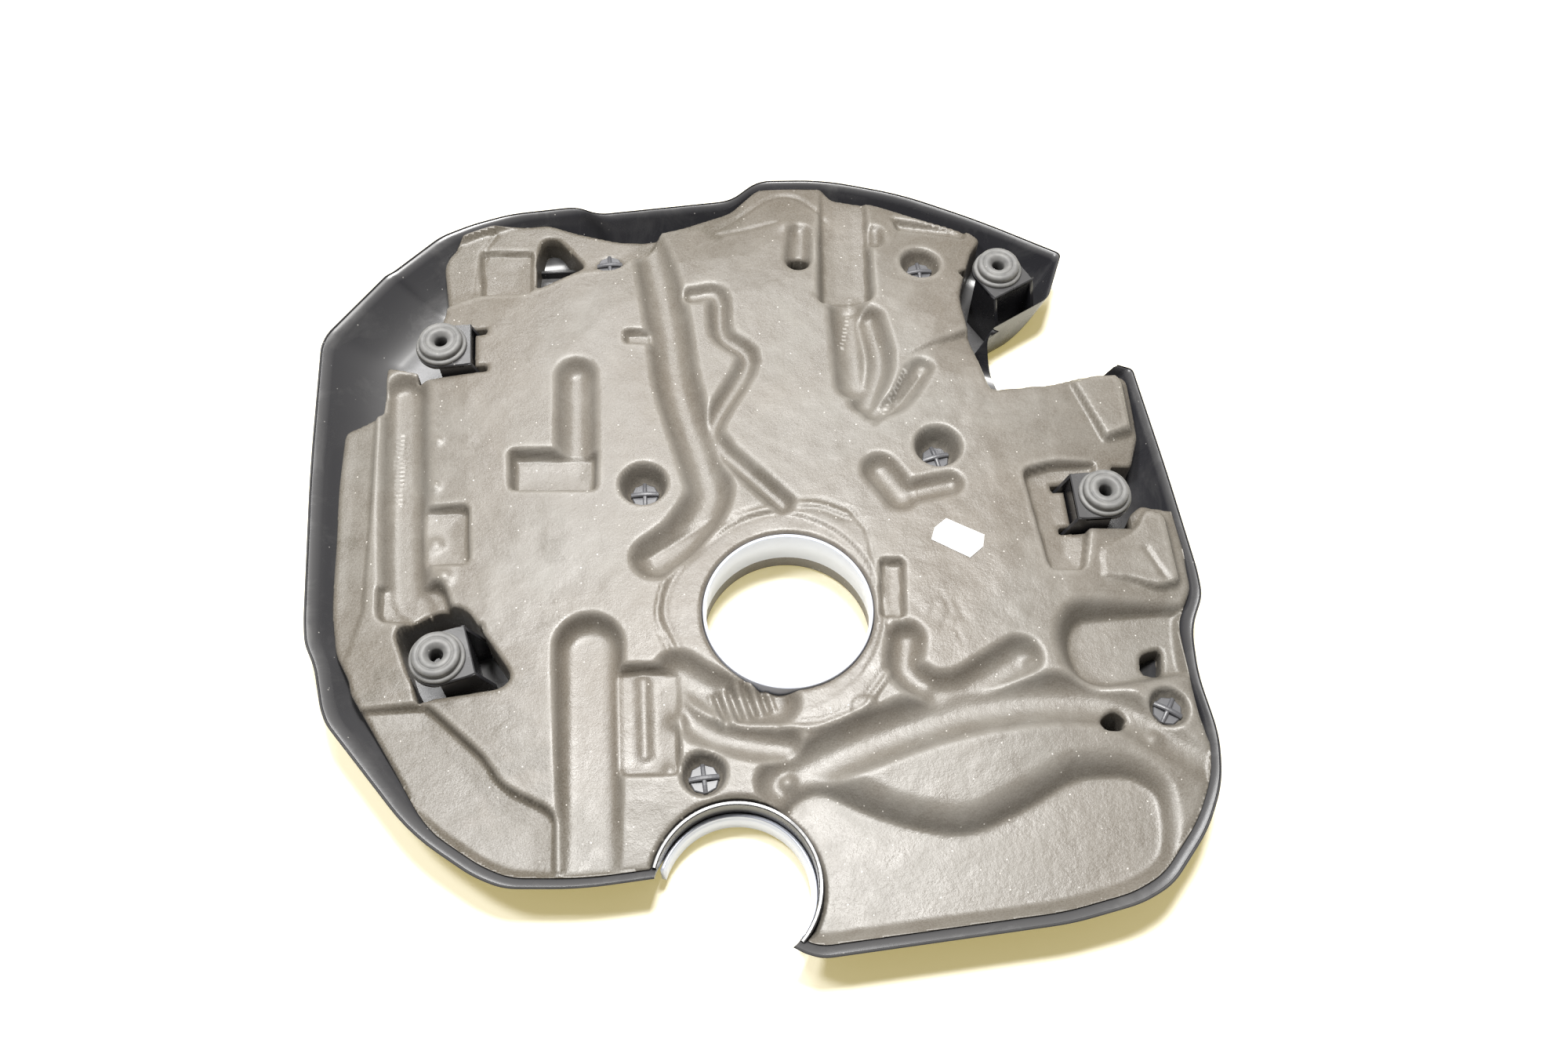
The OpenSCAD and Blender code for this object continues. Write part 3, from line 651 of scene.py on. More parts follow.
# %% [markdown]
# Old foam isn't one colour. Its crests are painted pale, a painted highlight over rubbed wear, and its
# hollows are painted dark, a painted shade over dirt. It is darker near the rim, partly grime and partly
# painted shade where the light falls off, there is grime in blots, and ribbed pipes have left rows of pale
# marks. These could be painted on an image, but a number at each point of the mesh does the same and needs no
# image. The material reads them later.

# %% Crests, grime and painted shade, and scuffs of the foam
# place, width and how dark
GRIME_BLOTS = [
    (-75, 314, 20, 0.9), (-31, 318, 22, 0.9), (-268, 69, 7, 1.0), (-140, 48, 10, 0.5),
    (30, 64, 14, 0.6), (62, 300, 16, -0.5), (-205, -75, 60, 0.5), (-150, -130, 44, 0.4),
    (40, -150, 30, 0.22), (150, -20, 30, 0.2), (-10, 84, 12, 0.5)]
# line and width
SCUFFS = [([(51, 194), (61, 238)], 2.6), ([(-240, 148), (-238, 96)], 2.6), ([(90, 168), (72, 138)], 3.0)]

# how far each point lies above or below its neighbourhood
crest = np.zeros(len(places))
for dx, dy in ((6, 0), (-6, 0), (0, 6), (0, -6), (4, 4), (-4, 4), (4, -4), (-4, -4)):
    crest += (top - foam_height(places[:, 0] + dx, places[:, 1] + dy)) / 8
crest_all = np.concatenate([np.clip(crest / 4.0, -1, 1), np.zeros(len(verts) - len(places))])
# darker near the rim, most on the left, and at the rear and on the right: grime, and painted shade where the
# light falls off
share = rim_share(verts[:, 0], verts[:, 1])
grime_and_shade = smooth_step(share, 0.72, 0.96) * (0.25 + 0.30 * smooth_step(-verts[:, 0], -40, 120))
grime_and_shade = grime_and_shade + 0.30 * smooth_step(verts[:, 1], 150, 300) + 0.16 * smooth_step(verts[:, 0], 110, 220)
grime_and_shade = np.clip(grime_and_shade, 0, 1)
ragged = 0.5 * smooth_noise(verts[:, 0], verts[:, 1], 7, 5)
for sx, sy, wide, dark in GRIME_BLOTS:
    blot = np.hypot(verts[:, 0] - sx, verts[:, 1] - sy) / wide + ragged
    grime_and_shade = grime_and_shade + dark * (1 - smooth_step(blot, 0.75, 1.05))
grime_and_shade = np.clip(grime_and_shade + 0.12 * smooth_noise(verts[:, 0], verts[:, 1], 40, 7), 0, 1)
add_values(foam, "grime_and_shade", grime_and_shade)
scuff = np.zeros(len(verts))
for line, wide in SCUFFS:
    d, along = distance_to_path(verts[:, 0], verts[:, 1], np.array(line, float))
    scuff = np.maximum(scuff, (1 - smooth_step(d, 0.4 * wide, wide)) * (0.5 + 0.5 * np.cos(along * 1.85)))
add_values(foam, "scuff", scuff)
add_values(foam, "crest", crest_all)
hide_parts("foam_pad")
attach(foam, "root")
print("foam values from 0 to 1: grime up to", grime_and_shade.max().round(2), " scuff up to", scuff.max().round(2))

# %% [markdown]
# ## Shell
# The shell is injection moulded, about 2.5 mm thick. It is modelled as rings that run up the outside, roll
# over the lip and run down the inside. A solidify modifier would be quicker, but rings let the lip be round
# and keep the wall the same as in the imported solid.

# %% Section of the dish
def cut_corners(points, times):
    """Each corner is cut off, again and again, until the line is smooth. It stays inside its corners."""
    p = np.array(points, float)
    for _ in range(times):
        q = 0.75 * p[:-1] + 0.25 * p[1:]
        r = 0.25 * p[:-1] + 0.75 * p[1:]
        p = np.vstack([p[:1], np.stack([q, r], 1).reshape(-1, 2), p[-1:]])
    return p


WALL = 2.5
SHOW_SECTION = np.array([(0.5, 0), (0.84, 1.2), (0.9, 8), (0.945, 19), (1.0, 38.0)])
outside = cut_corners(SHOW_SECTION, 2)
outside = np.vstack([[0.25, 0.0], outside[:-1], [0.9975, 37.3], [0.9965, 37.8], [0.995, 38.0]])
slope = np.gradient(outside * np.array([DISH_RADIUS, 1.0]), axis=0)
slope /= np.linalg.norm(slope, axis=1)[:, None]
shift = np.stack([-slope[:, 1] * WALL / DISH_RADIUS, slope[:, 0] * WALL], 1)
inside = (outside + shift)[:-4]
inside = inside[inside[:, 1] < 36.5]
inside = np.vstack([inside, [0.9928, 36.9], [0.9936, 37.7]])
print("section: outside", len(outside), "points, inside", len(inside), "points")

# %% Rings, and a closed surface through them
def ring_at(share, height):
    """The rim's outline drawn smaller, at one height."""
    return np.column_stack([DISH_CENTRE + (rim - DISH_CENTRE) * share, np.full(len(rim), height)])


def show_height(x, y):
    """Height of the show face, the side that lies on the table."""
    return np.interp(rim_share(x, y), SHOW_SECTION[:, 0], SHOW_SECTION[:, 1])


def lofted(rings, first_hub, last_hub):
    """Closed surface through rings of the same length, with a fan at each end."""
    n = len(rings[0])
    verts = np.vstack(list(rings) + [[first_hub], [last_hub]])
    faces = []
    for j in range(len(rings) - 1):
        for i in range(n):
            k = (i + 1) % n
            faces.append((j * n + i, j * n + k, (j + 1) * n + k, (j + 1) * n + i))
    low, high = len(rings) * n, len(rings) * n + 1
    for i in range(n):
        k = (i + 1) % n
        faces.append((low, k, i))
        faces.append((high, (len(rings) - 1) * n + i, (len(rings) - 1) * n + k))
    return verts, faces


print("the ring at half way is", np.ptp(ring_at(0.5, 0.0), axis=0)[:2].round(), "mm wide and deep")

# %% Cuts with upright blocks
def face_out(obj):
    """Turn every face so that its front looks away from the inside."""
    bm = bmesh.new()
    bm.from_mesh(obj.data)
    bmesh.ops.recalc_face_normals(bm, faces=bm.faces)
    bm.to_mesh(obj.data)
    bm.free()


def drop(obj):
    """Remove an object together with its mesh."""
    mesh = obj.data
    bpy.data.objects.remove(obj)
    bpy.data.meshes.remove(mesh)


def cut_away(obj, cutter):
    """Take one solid out of another and keep only the result."""
    step = obj.modifiers.new("cut", "BOOLEAN")
    step.operation = "DIFFERENCE"
    step.solver = "EXACT"
    step.object = cutter
    graph = bpy.context.evaluated_depsgraph_get()
    result = bpy.data.meshes.new_from_object(obj.evaluated_get(graph))
    obj.modifiers.remove(step)
    old = obj.data
    obj.data = result
    bpy.data.meshes.remove(old)
    drop(cutter)


def prism(name, outline, low, high):
    """An upright block with a closed outline, to cut with."""
    n = len(outline)
    verts = [(x, y, low) for x, y in outline] + [(x, y, high) for x, y in outline]
    faces = [tuple(range(n)), tuple(range(2 * n - 1, n - 1, -1))]
    faces += [(i, i + n, (i + 1) % n + n, (i + 1) % n) for i in range(n)]
    obj = mesh_object(name, verts, faces, smooth=False)
    face_out(obj)
    return obj


def circle(cx, cy, r, n=72):
    a = np.linspace(0, 2 * math.pi, n, endpoint=False)
    return np.column_stack([cx + r * np.cos(a), cy + r * np.sin(a)])


print("a circle of 10 mm radius is", np.ptp(circle(0, 0, 10)[:, 0]).round(2), "mm wide")

# %% Dish with its three openings
COLLAR_RADIUS = 55.1
CUTOUT_RADIUS = 45
NOTCH = [(152, 203), (163, 163), (187, 161), (212, 167), (243, 171), (300, 172), (300, 200)]
rings = [ring_at(s, h) for s, h in outside] + [ring_at(s, h) for s, h in inside[::-1]]
shell_verts, shell_faces = lofted(rings, (*DISH_CENTRE, 0.0), (*DISH_CENTRE, WALL))
dish = mesh_object("shell_moulding", shell_verts, shell_faces)
face_out(dish)
cut_away(dish, prism("hole cutter", circle(0, 0, COLLAR_RADIUS, 96), -5, 20))
cut_away(dish, prism("cut-out cutter", circle(*CUTOUT_CENTRE, CUTOUT_RADIUS, 96), -5, 60))
cut_away(dish, prism("notch cutter", rounded(same_rounding(NOTCH, 3), 4), -5, 60))
print("dish:", len(rings), "rings,", len(dish.data.polygons), "faces after the cuts")

# %% [markdown]
# Inside the dish stand thin moulded walls: the collar round the hole, the wall round the half-round
# cut-out, two low ribs, six bosses for the clips, and the four towers that carry the grommets. Each wall's
# foot follows the floor.

# %% A wall that stands on the dish
def standing_wall(path, thickness, top, sink=1.2, step=4.0, closed=False, max_share=0.992):
    """A thin wall along a path in plan. Its foot follows the show face and its top is a height or a list."""
    p = np.array(path, float)
    tops = np.full(len(p), float(top)) if np.isscalar(top) else np.array(top, float)
    if closed:
        p, tops = np.vstack([p, p[:1]]), np.append(tops, tops[0])
    fine, fine_top = [p[0]], [tops[0]]
    for a, b, ta, tb in zip(p[:-1], p[1:], tops[:-1], tops[1:]):
        k = max(1, int(np.linalg.norm(b - a) / step))
        for j in range(1, k + 1):
            fine.append(a + (b - a) * j / k)
            fine_top.append(ta + (tb - ta) * j / k)
    p, tops = np.array(fine), np.array(fine_top)
    share = rim_share(p[:, 0], p[:, 1])
    if not closed:
        p, tops = p[share < max_share], tops[share < max_share]
    d = np.gradient(p, axis=0)
    if closed:
        d[0] = d[-1] = p[1] - p[-2]
    d /= np.linalg.norm(d, axis=1)[:, None]
    side = np.column_stack([-d[:, 1], d[:, 0]]) * thickness / 2
    foot = show_height(p[:, 0], p[:, 1]) + sink
    tops = np.maximum(tops, foot + 0.5)
    bevel = min(0.5, thickness / 4)
    rows = [np.column_stack([p - side, foot]), np.column_stack([p - side, tops - bevel]),
            np.column_stack([p - side * 0.55, tops]), np.column_stack([p + side * 0.55, tops]),
            np.column_stack([p + side, tops - bevel]), np.column_stack([p + side, foot])]
    n = len(p)
    verts = np.vstack(rows)
    faces = [(r * n + i, r * n + i + 1, (r + 1) % 6 * n + i + 1, (r + 1) % 6 * n + i)
             for r in range(6) for i in range(n - 1)]
    if not closed:
        faces += [tuple(r * n for r in range(6)), tuple(r * n + n - 1 for r in range(5, -1, -1))]
    return verts, faces


trial = standing_wall([(0, 0), (20, 0)], WALL, 12.0)[0]
print("a trial wall is", np.ptp(trial[:, 1]).round(2), "mm thick and", trial[:, 2].max(), "mm high")

# %% Turned pieces, and pieces joined into one mesh
def turned(profile, centre=(0, 0), steps=48, arc=None):
    """Turn a closed profile of (radius, height) about an upright axis."""
    radius, height = np.array(profile, float).T
    m = len(profile)
    full = arc is None
    if full:
        angles = np.linspace(0, 2 * math.pi, steps, endpoint=False)
    else:
        angles = np.radians(np.linspace(arc[0], arc[1], steps))
    verts = np.vstack([np.column_stack([
        centre[0] + radius * math.cos(a), centre[1] + radius * math.sin(a), height]) for a in angles])
    faces = []
    for i in range(steps if full else steps - 1):
        k = (i + 1) % steps
        for j in range(m):
            q = (j + 1) % m
            faces.append((i * m + j, k * m + j, k * m + q, i * m + q))
    if not full:
        faces += [tuple(range(m)), tuple((steps - 1) * m + j for j in range(m - 1, -1, -1))]
    return verts, faces


def turn_and_move(points, centre, degrees):
    """Turn points about an upright axis and put them round a centre."""
    c, s = math.cos(math.radians(degrees)), math.sin(math.radians(degrees))
    p = np.asarray(points, float)
    out = p.copy()
    out[:, 0] = centre[0] + p[:, 0] * c - p[:, 1] * s
    out[:, 1] = centre[1] + p[:, 0] * s + p[:, 1] * c
    return out


def merged(name, parts):
    """One object from a list of (places, faces)."""
    verts, faces, start = [], [], 0
    for v, f in parts:
        verts.append(np.asarray(v, float))
        faces += [tuple(int(i) + start for i in face) for face in f]
        start += len(v)
    obj = mesh_object(name, np.vstack(verts), faces)
    face_out(obj)
    return obj


quarter = turned([(8, 0), (9, 0), (9, 1)], arc=(0, 90))[0]
print("a quarter turn of a small profile has", len(quarter), "points")

# %% Plate that holds a grommet
PLATE_LOW = 49.0
PLATE_TOP = 52.0
PLATE_HOLE_RADIUS = 9.15
PLATE_HALF_WIDTH = 16.5
PLATE_BACK = 19.0
PLATE_FRONT_RADIUS = 17


def plate_outline(angle):
    """Round in front, square behind."""
    c, s = math.cos(angle), math.sin(angle)
    if c < 0:
        return PLATE_FRONT_RADIUS * c, min(max(PLATE_FRONT_RADIUS * s, -PLATE_HALF_WIDTH), PLATE_HALF_WIDTH)
    reach = min(PLATE_BACK / max(c, 1e-6), PLATE_HALF_WIDTH / max(abs(s), 1e-6))
    return reach * c, reach * s


def tower_plate(centre, turn):
    """The round-ended plate that holds a grommet, with its hole and a soft upper edge."""
    angles = np.radians(np.concatenate([np.linspace(-90, 90, 19), np.linspace(95, 265, 28)]))
    outer = np.array([plate_outline(angle) for angle in angles])
    inner = PLATE_HOLE_RADIUS * np.column_stack([np.cos(angles), np.sin(angles)])
    n = len(inner)
    rows = [np.column_stack([outline, np.full(n, height)]) for outline, height in
            ((inner, PLATE_LOW), (inner, PLATE_TOP), (outer * 0.965, PLATE_TOP), (outer, PLATE_TOP - 0.7),
             (outer, PLATE_LOW))]
    faces = [(r * n + i, r * n + (i + 1) % n, (r + 1) % 5 * n + (i + 1) % n, (r + 1) % 5 * n + i)
             for r in range(5) for i in range(n)]
    return turn_and_move(np.vstack(rows), centre, turn), faces


print("plate:", len(tower_plate((0, 0), 0)[1]), "faces")

# %% Collar, cut-out wall, ribs, bosses and towers
COLLAR_TOP = 31.0
CUTOUT_WALL_TOP = 37.4
RIB_ENDS = (-168, -112)
RIB_TOP = 11.25
BOSS_PROFILE = [(3.65, 2), (6, 2), (6, 27.4), (5.6, 28), (3.65, 28)]
TOWER_BACK = 17.75


def cutout_wall():
    """The round wall of the cut-out, as far as it stands inside the dish."""
    arc = np.radians(np.arange(0, 361, 4))
    path = CUTOUT_CENTRE + (CUTOUT_RADIUS + 1.3) * np.column_stack([np.cos(arc), np.sin(arc)])
    in_dish = rim_share(path[:, 0], path[:, 1]) < 0.985
    first = int(np.argmax(in_dish & ~np.roll(in_dish, 1)))
    path = np.roll(path[:-1], -first, axis=0)[: int(in_dish[:-1].sum())]
    return standing_wall(path, WALL, CUTOUT_WALL_TOP, sink=1.0, max_share=0.99)


def tower(tx, ty, turn):
    """A plate on a back wall and two side walls that slope down to the dish."""
    def spots(*corners):
        return turn_and_move([(u, v, 0.0) for u, v in corners], (tx, ty), turn)[:, :2]

    parts = [tower_plate((tx, ty), turn),
             standing_wall(spots((TOWER_BACK, -16.4), (TOWER_BACK, 16.4)), TOWER_WALL, 51.3)]
    for side in (-TOWER_SIDE, TOWER_SIDE):
        path = spots((-2, side), (17.9, side), (19.0, side), (27, side))
        parts.append(standing_wall(path, TOWER_WALL, [51.0, 51.0, 50.0, 26.0], step=2.0))
    return parts


collar_path = circle(0, 0, COLLAR_RADIUS + WALL / 2 + 0.05, 72)
shell_parts = [standing_wall(collar_path, WALL - 0.1, COLLAR_TOP, sink=1.3, closed=True), cutout_wall()]
for y in (277.25, 295.25):
    shell_parts.append(standing_wall([(RIB_ENDS[0], y), (RIB_ENDS[1], y)], WALL, RIB_TOP))
for cx, cy, _ in CLIPS:
    shell_parts.append(turned(BOSS_PROFILE, (cx, cy), 28))
for tx, ty, turn in TOWERS:
    shell_parts += tower(tx, ty, turn)
fittings = merged("shell_fittings", shell_parts)
print("walls, bosses and towers:", len(shell_parts), "parts")

# %% One shell with crisp corners
bpy.ops.object.select_all(action="DESELECT")
for part in (dish, fittings):
    part.select_set(True)
bpy.context.view_layer.objects.active = dish
bpy.ops.object.join()
shell = dish
shell.data.shade_smooth()
corner = shell.modifiers.new("sharp corners", "EDGE_SPLIT")
corner.split_angle = math.radians(38)
graph = bpy.context.evaluated_depsgraph_get()
split = bpy.data.meshes.new_from_object(shell.evaluated_get(graph))
shell.modifiers.remove(corner)
old = shell.data
shell.data = split
bpy.data.meshes.remove(old)
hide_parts("cover_shell")
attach(shell, "root")
print("cover shell:", len(shell.data.vertices), "points,", len(shell.data.polygons), "faces")

# %% [markdown]
# ## Silver sleeve and silver arc
# The sleeve lines the round hole: straight at the top, then opening like a trumpet to the show face. The
# arc does the same for the half-round cut-out. Both are turned profiles, which is how such rings are drawn
# and how their moulds are cut.

# %% Sleeve in the round hole and arc in the cut-out
# radius and height: up the bore, over the lip and down behind
sleeve_profile = [
    (52.8, 1.3), (52.8, 5.0), (52.3, 9.0), (51.6, 14.0), (50.7, 20.0), (49.8, 26.0), (49.2, 31.0),
    (49.0, 34.0), (49.0, 45.4), (49.3, 45.9), (50.7, 45.9), (51.0, 45.4), (51.0, 34.0), (51.3, 31.0),
    (52.0, 26.0), (53.0, 20.0), (53.9, 14.0), (54.5, 9.0), (54.75, 5.0), (54.75, 1.3), (54.4, 1.0),
    (53.2, 1.0)]
sleeve = merged("silver_sleeve", [turned(sleeve_profile, steps=128)])
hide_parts("centre_sleeve")
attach(sleeve, "root")
arc_profile = [(42.3, 2.0), (41.8, 3.2), (41.5, 6.0), (41.5, 17.6), (41.8, 18.3), (42.3, 18.9), (42.5, 19.6),
               (42.5, 20.6), (42.9, 21.0), (44.3, 21.0), (44.7, 20.6), (44.7, 2.4), (44.4, 2.0)]
ARC_LIFT = 2.0
ARC_ENDS = (-38, 160)
lifted_profile = [(r, z + ARC_LIFT) for r, z in arc_profile]
silver_arc = merged("silver_arc", [turned(lifted_profile, CUTOUT_CENTRE, 90, ARC_ENDS)])
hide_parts("cutout_trim")
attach(silver_arc, "root")
print("sleeve faces:", len(sleeve.data.polygons), " arc faces:", len(silver_arc.data.polygons))

# %% [markdown]
# ## Rubber grommets
# Each grommet is one moulded rubber ring pushed into its plate from above. Its funnel guides a ball stud of
# the engine into the bore. It is a turned profile with every edge rounded, because rubber parts have no
# sharp edges.

# %% Four grommets
# radius, and height above the plate
grommet_profile = [
    (4.0, -8.6), (4.0, 2.6), (4.1, 4.2), (4.5, 5.2), (5.6, 6.6), (6.4, 7.3), (7.0, 7.6), (7.6, 7.7),
    (9.6, 7.75), (9.8, 7.35), (10.2, 7.35), (10.4, 7.7), (12.2, 7.6), (13.2, 7.2), (13.9, 6.4),
    (14.1, 5.4), (14.1, 4.0), (14.0, 3.4), (13.9, 3.0), (14.1, 2.7), (15.2, 2.6), (15.9, 2.3),
    (16.25, 1.7), (16.3, 0.5), (16.1, 0.0), (9.0, 0.0), (9.0, -3.0), (11.3, -3.0), (11.3, -3.4),
    (10.2, -8.4), (9.8, -9.0), (4.4, -9.0)]
on_plate = [(r, z + PLATE_TOP) for r, z in grommet_profile]
grommets = []
for (tx, ty, _), name in zip(TOWERS, TOWER_TURNS):
    ring = merged("rubber_" + name, [turned(on_plate, (tx, ty), 64)])
    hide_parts(name)
    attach(ring, "root")
    grommets.append(ring)
print("grommets:", [ring.name for ring in grommets])

# %% [markdown]
# ## Foam clips
# Each clip is an eight-sided plastic head with a raised cross, on a shank that is pushed into a boss of the
# shell. The head is drawn as stacked rings with chamfers, and the cross as two bars with rounded tops,
# because the chamfers are what catches the light in the photograph.

# %% Six clips
def bar(length, width, low, high, angle, dip=0.0):
    """A bar with a rounded top; dip lowers its ends."""
    half, w = length / 2, width / 2
    rows = []
    for x in np.linspace(-half, half, 9):
        top = high - dip * (x / half) ** 2
        rows.append([(x, -w, low), (x, -w, top - 0.7), (x, -w * 0.55, top - 0.12), (x, 0, top),
                     (x, w * 0.55, top - 0.12), (x, w, top - 0.7), (x, w, low)])
    verts = turn_and_move(np.array(rows).reshape(-1, 3), (0, 0), angle)
    m, last = len(rows[0]), len(rows) - 1
    faces = [(i * m + j, i * m + (j + 1) % m, (i + 1) * m + (j + 1) % m, (i + 1) * m + j)
             for i in range(last) for j in range(m)]
    faces += [tuple(range(m)), tuple(last * m + j for j in range(m - 1, -1, -1))]
    return verts, faces


HEAD_PROFILE = [(0.01, 30.0), (8.7, 30.0), (9.0, 30.3), (8.9, 31.3), (8.3, 31.9), (0.01, 32.0)]
SHANK_PROFILE = [(0.01, 19.0), (2.6, 19.0), (3.4, 21.0), (3.5, 30.0), (0.01, 30.0)]
clip_parts = [turned(HEAD_PROFILE, steps=8), turned(SHANK_PROFILE, steps=24),
              bar(17.4, 3.0, 31.5, 35.0, 0, 1.3), bar(17.2, 2.6, 31.5, 34.4, 90, 1.6)]
clips = []
for number, (cx, cy, turn) in enumerate(CLIPS, 1):
    pieces = [(turn_and_move(v, (cx, cy), turn), f) for v, f in clip_parts]
    clip = merged("foam_clip_%d" % number, pieces)
    clip.data.shade_flat()
    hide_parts("retainer_%d" % number)
    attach(clip, "root")
    clips.append(clip)
print("clips:", len(clips), "with", len(clips[0].data.polygons), "faces each")

# %% [markdown]
# ## Blank label
# A paper label has come half loose over the years: it is cut with slanting corners and its edges lift a
# little. It is a thin sheet of paper on top of the foam, so it needs only a bent grid with a small
# thickness.

# %% Label
LABEL = np.array([(94, 48), (102, 54), (124, 41), (122, 33), (113, 26), (91, 40)], float)


PAPER_THICKNESS = 0.22
CURL_WIDTH = 3.0
CURL_HEIGHT = 0.12


def label_domain(x, y):
    return distance_to_outline(x, y, LABEL)


label_places, label_tris, label_edge = cut_grid(1.0, (88, 127), (23, 57), label_domain)
from_edge = -label_domain(label_places[:, 0], label_places[:, 1])
lift = np.clip(1 - from_edge / CURL_WIDTH, 0, 1) ** 2 * CURL_HEIGHT
base = foam_height(label_places[:, 0], label_places[:, 1])
label_z = np.maximum(base, np.median(base) - 0.2) + 0.1 + lift
count = len(label_places)
label_verts = np.vstack([np.column_stack([label_places, label_z + PAPER_THICKNESS]),
                         np.column_stack([label_places, label_z])])
label_faces = label_tris.tolist() + (label_tris[:, ::-1] + count).tolist()
label_faces += np.column_stack([label_edge[:, 1], label_edge[:, 0], label_edge[:, 0] + count,
                                label_edge[:, 1] + count]).tolist()
label = mesh_object("paper_label", label_verts, label_faces)
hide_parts("blank_label")
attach(label, "root")
print("label top in mm:", label_verts[:, 2].min().round(2), label_verts[:, 2].max().round(2))

# %% [markdown]
# ## Node groups
# Each effect that more than one surface could use, such as dust, is a node group that gives a mask, a
# colour or a height. The group is plugged into the material's own shader. Building it all inside each
# material would work too, but the dust would then have to be tuned in three places.

# %% Helpers for groups and nodes
def new_group(name, outputs, inputs=()):
    """A shader node group with its input and output nodes."""
    group = bpy.data.node_groups.new(name, "ShaderNodeTree")
    for label_text, kind, value in inputs:
        socket = group.interface.new_socket(label_text, in_out="INPUT", socket_type=kind)
        socket.default_value = value
    for label_text, kind in outputs:
        group.interface.new_socket(label_text, in_out="OUTPUT", socket_type=kind)
    return group, group.nodes.new("NodeGroupInput"), group.nodes.new("NodeGroupOutput")


def add(tree, kind, **values):
    """A node with its settings."""
    node = tree.nodes.new(kind)
    for key, value in values.items():
        setattr(node, key, value)
    return node


def noise(tree, place, scale, detail=4.0, rough=0.55, distort=0.0):
    n = add(tree, "ShaderNodeTexNoise")
    n.inputs["Scale"].default_value = scale
    n.inputs["Detail"].default_value = detail
    n.inputs["Roughness"].default_value = rough
    n.inputs["Distortion"].default_value = distort
    tree.links.new(place, n.inputs["Vector"])
    return n.outputs["Fac"]


print("helpers for groups, nodes and noises; groups so far:", len(bpy.data.node_groups))

# %% Helpers for values and colours
def ramp(tree, value, low, high, to_low=0.0, to_high=1.0):
    """A value from low to high becomes one from to_low to to_high, and stays between them."""
    n = add(tree, "ShaderNodeMapRange", clamp=True)
    for socket, number in zip(("From Min", "From Max", "To Min", "To Max"), (low, high, to_low, to_high)):
        n.inputs[socket].default_value = number
    tree.links.new(value, n.inputs["Value"])
    return n.outputs["Result"]


def math_node(tree, operation, a, b):
    n = add(tree, "ShaderNodeMath", operation=operation)
    for socket, value in zip(n.inputs, (a, b)):
        if isinstance(value, (int, float)):
            socket.default_value = value
        else:
            tree.links.new(value, socket)
    return n.outputs[0]


def mix_colour(tree, share, a, b):
    """Colour a where share is 0, colour b where it is 1. Each may be a number, a colour or a socket."""
    n = add(tree, "ShaderNodeMix", data_type="RGBA", blend_type="MIX")
    for socket, value in ((n.inputs[0], share), (n.inputs[6], a), (n.inputs[7], b)):
        if isinstance(value, (int, float)):
            socket.default_value = value
        elif isinstance(value, tuple):
            socket.default_value = (*value, 1.0)
        else:
            tree.links.new(value, socket)
    return n.outputs[2]


def object_place(tree):
    return add(tree, "ShaderNodeTexCoord").outputs["Object"]


print("helpers for ramps, sums and mixes; materials so far:", len(bpy.data.materials))

# %% [markdown]
# ## Dust
# Dust settles as pale specks of lint and as soft smears where a hand has wiped. A noise could make both,
# but its specks would run together. A texture of cells gives each cell one speck and a random number that
# says whether it is there, and the amount says how many are.

# %% Dust and lint
DUST_CELLS_PER_METRE = 210.0
dust_group, dust_in, dust_out = new_group(
    "dust and lint", [("Specks", "NodeSocketFloat"), ("Smears", "NodeSocketFloat")],
    [("Amount", "NodeSocketFloat", 0.5)])
place = object_place(dust_group)
cells = add(dust_group, "ShaderNodeTexVoronoi", feature="F1")
cells.inputs["Scale"].default_value = DUST_CELLS_PER_METRE
dust_group.links.new(place, cells.inputs["Vector"])
tiny = ramp(dust_group, cells.outputs["Distance"], 0.04, 0.12, 1.0, 0.0)
chosen = add(dust_group, "ShaderNodeSeparateColor")
dust_group.links.new(cells.outputs["Color"], chosen.inputs[0])
pick = math_node(dust_group, "LESS_THAN", chosen.outputs[0], dust_in.outputs["Amount"])
dust_group.links.new(math_node(dust_group, "MULTIPLY", tiny, pick), dust_out.inputs["Specks"])
smears = ramp(dust_group, noise(dust_group, place, 26.0, 7.0, 0.7, 0.6), 0.52, 0.78)
dust_group.links.new(smears, dust_out.inputs["Smears"])
print("dust group:", len(dust_group.nodes), "nodes")

# %% [markdown]
# ## Foam skin
# The skin is a mottled taupe. It is darker and olive near the rim and in blots, which is grime and near the
# rim also painted shade, paler on crests as a painted highlight over rubbed wear, and darker in hollows as a
# painted shade over dirt. Two noises of unlike size break up the colour. The finest one also gives the pores,
# so each pore has its own shade, as on the real pad.

# %% Foam skin group
BROWN_TAUPE = (0.118, 0.099, 0.077)
GREY_TAUPE = (0.160, 0.149, 0.131)
DARK_MOTTLE = (0.076, 0.061, 0.046)
OLIVE_GRIME_AND_SHADE = (0.060, 0.050, 0.034)
PALE_GRAIN = (0.200, 0.187, 0.166)
CREST_HIGHLIGHT_AND_RUB = (0.30, 0.285, 0.26)
HOLLOW_SHADE_AND_DIRT = (0.069, 0.058, 0.041)
PIPE_MARK = (0.44, 0.425, 0.40)
PORE_DEPTH = 0.00010
LUMP_DEPTH = 0.00042
skin_group, skin_in, skin_out = new_group(
    "foam skin",
    [("Colour", "NodeSocketColor"), ("Roughness", "NodeSocketFloat"), ("Height", "NodeSocketFloat")],
    [("Crest", "NodeSocketFloat", 0.0), ("Grime and shade", "NodeSocketFloat", 0.0), ("Scuff", "NodeSocketFloat", 0.0)])
place = object_place(skin_group)
broad = ramp(skin_group, noise(skin_group, place, 6.0, 4.0, 0.6, 0.4), 0.38, 0.62)
middle = ramp(skin_group, noise(skin_group, place, 38.0, 6.0, 0.68, 0.6), 0.36, 0.66)
fine = noise(skin_group, place, 1000.0, 3.0, 0.65)
tone = mix_colour(skin_group, broad, BROWN_TAUPE, GREY_TAUPE)
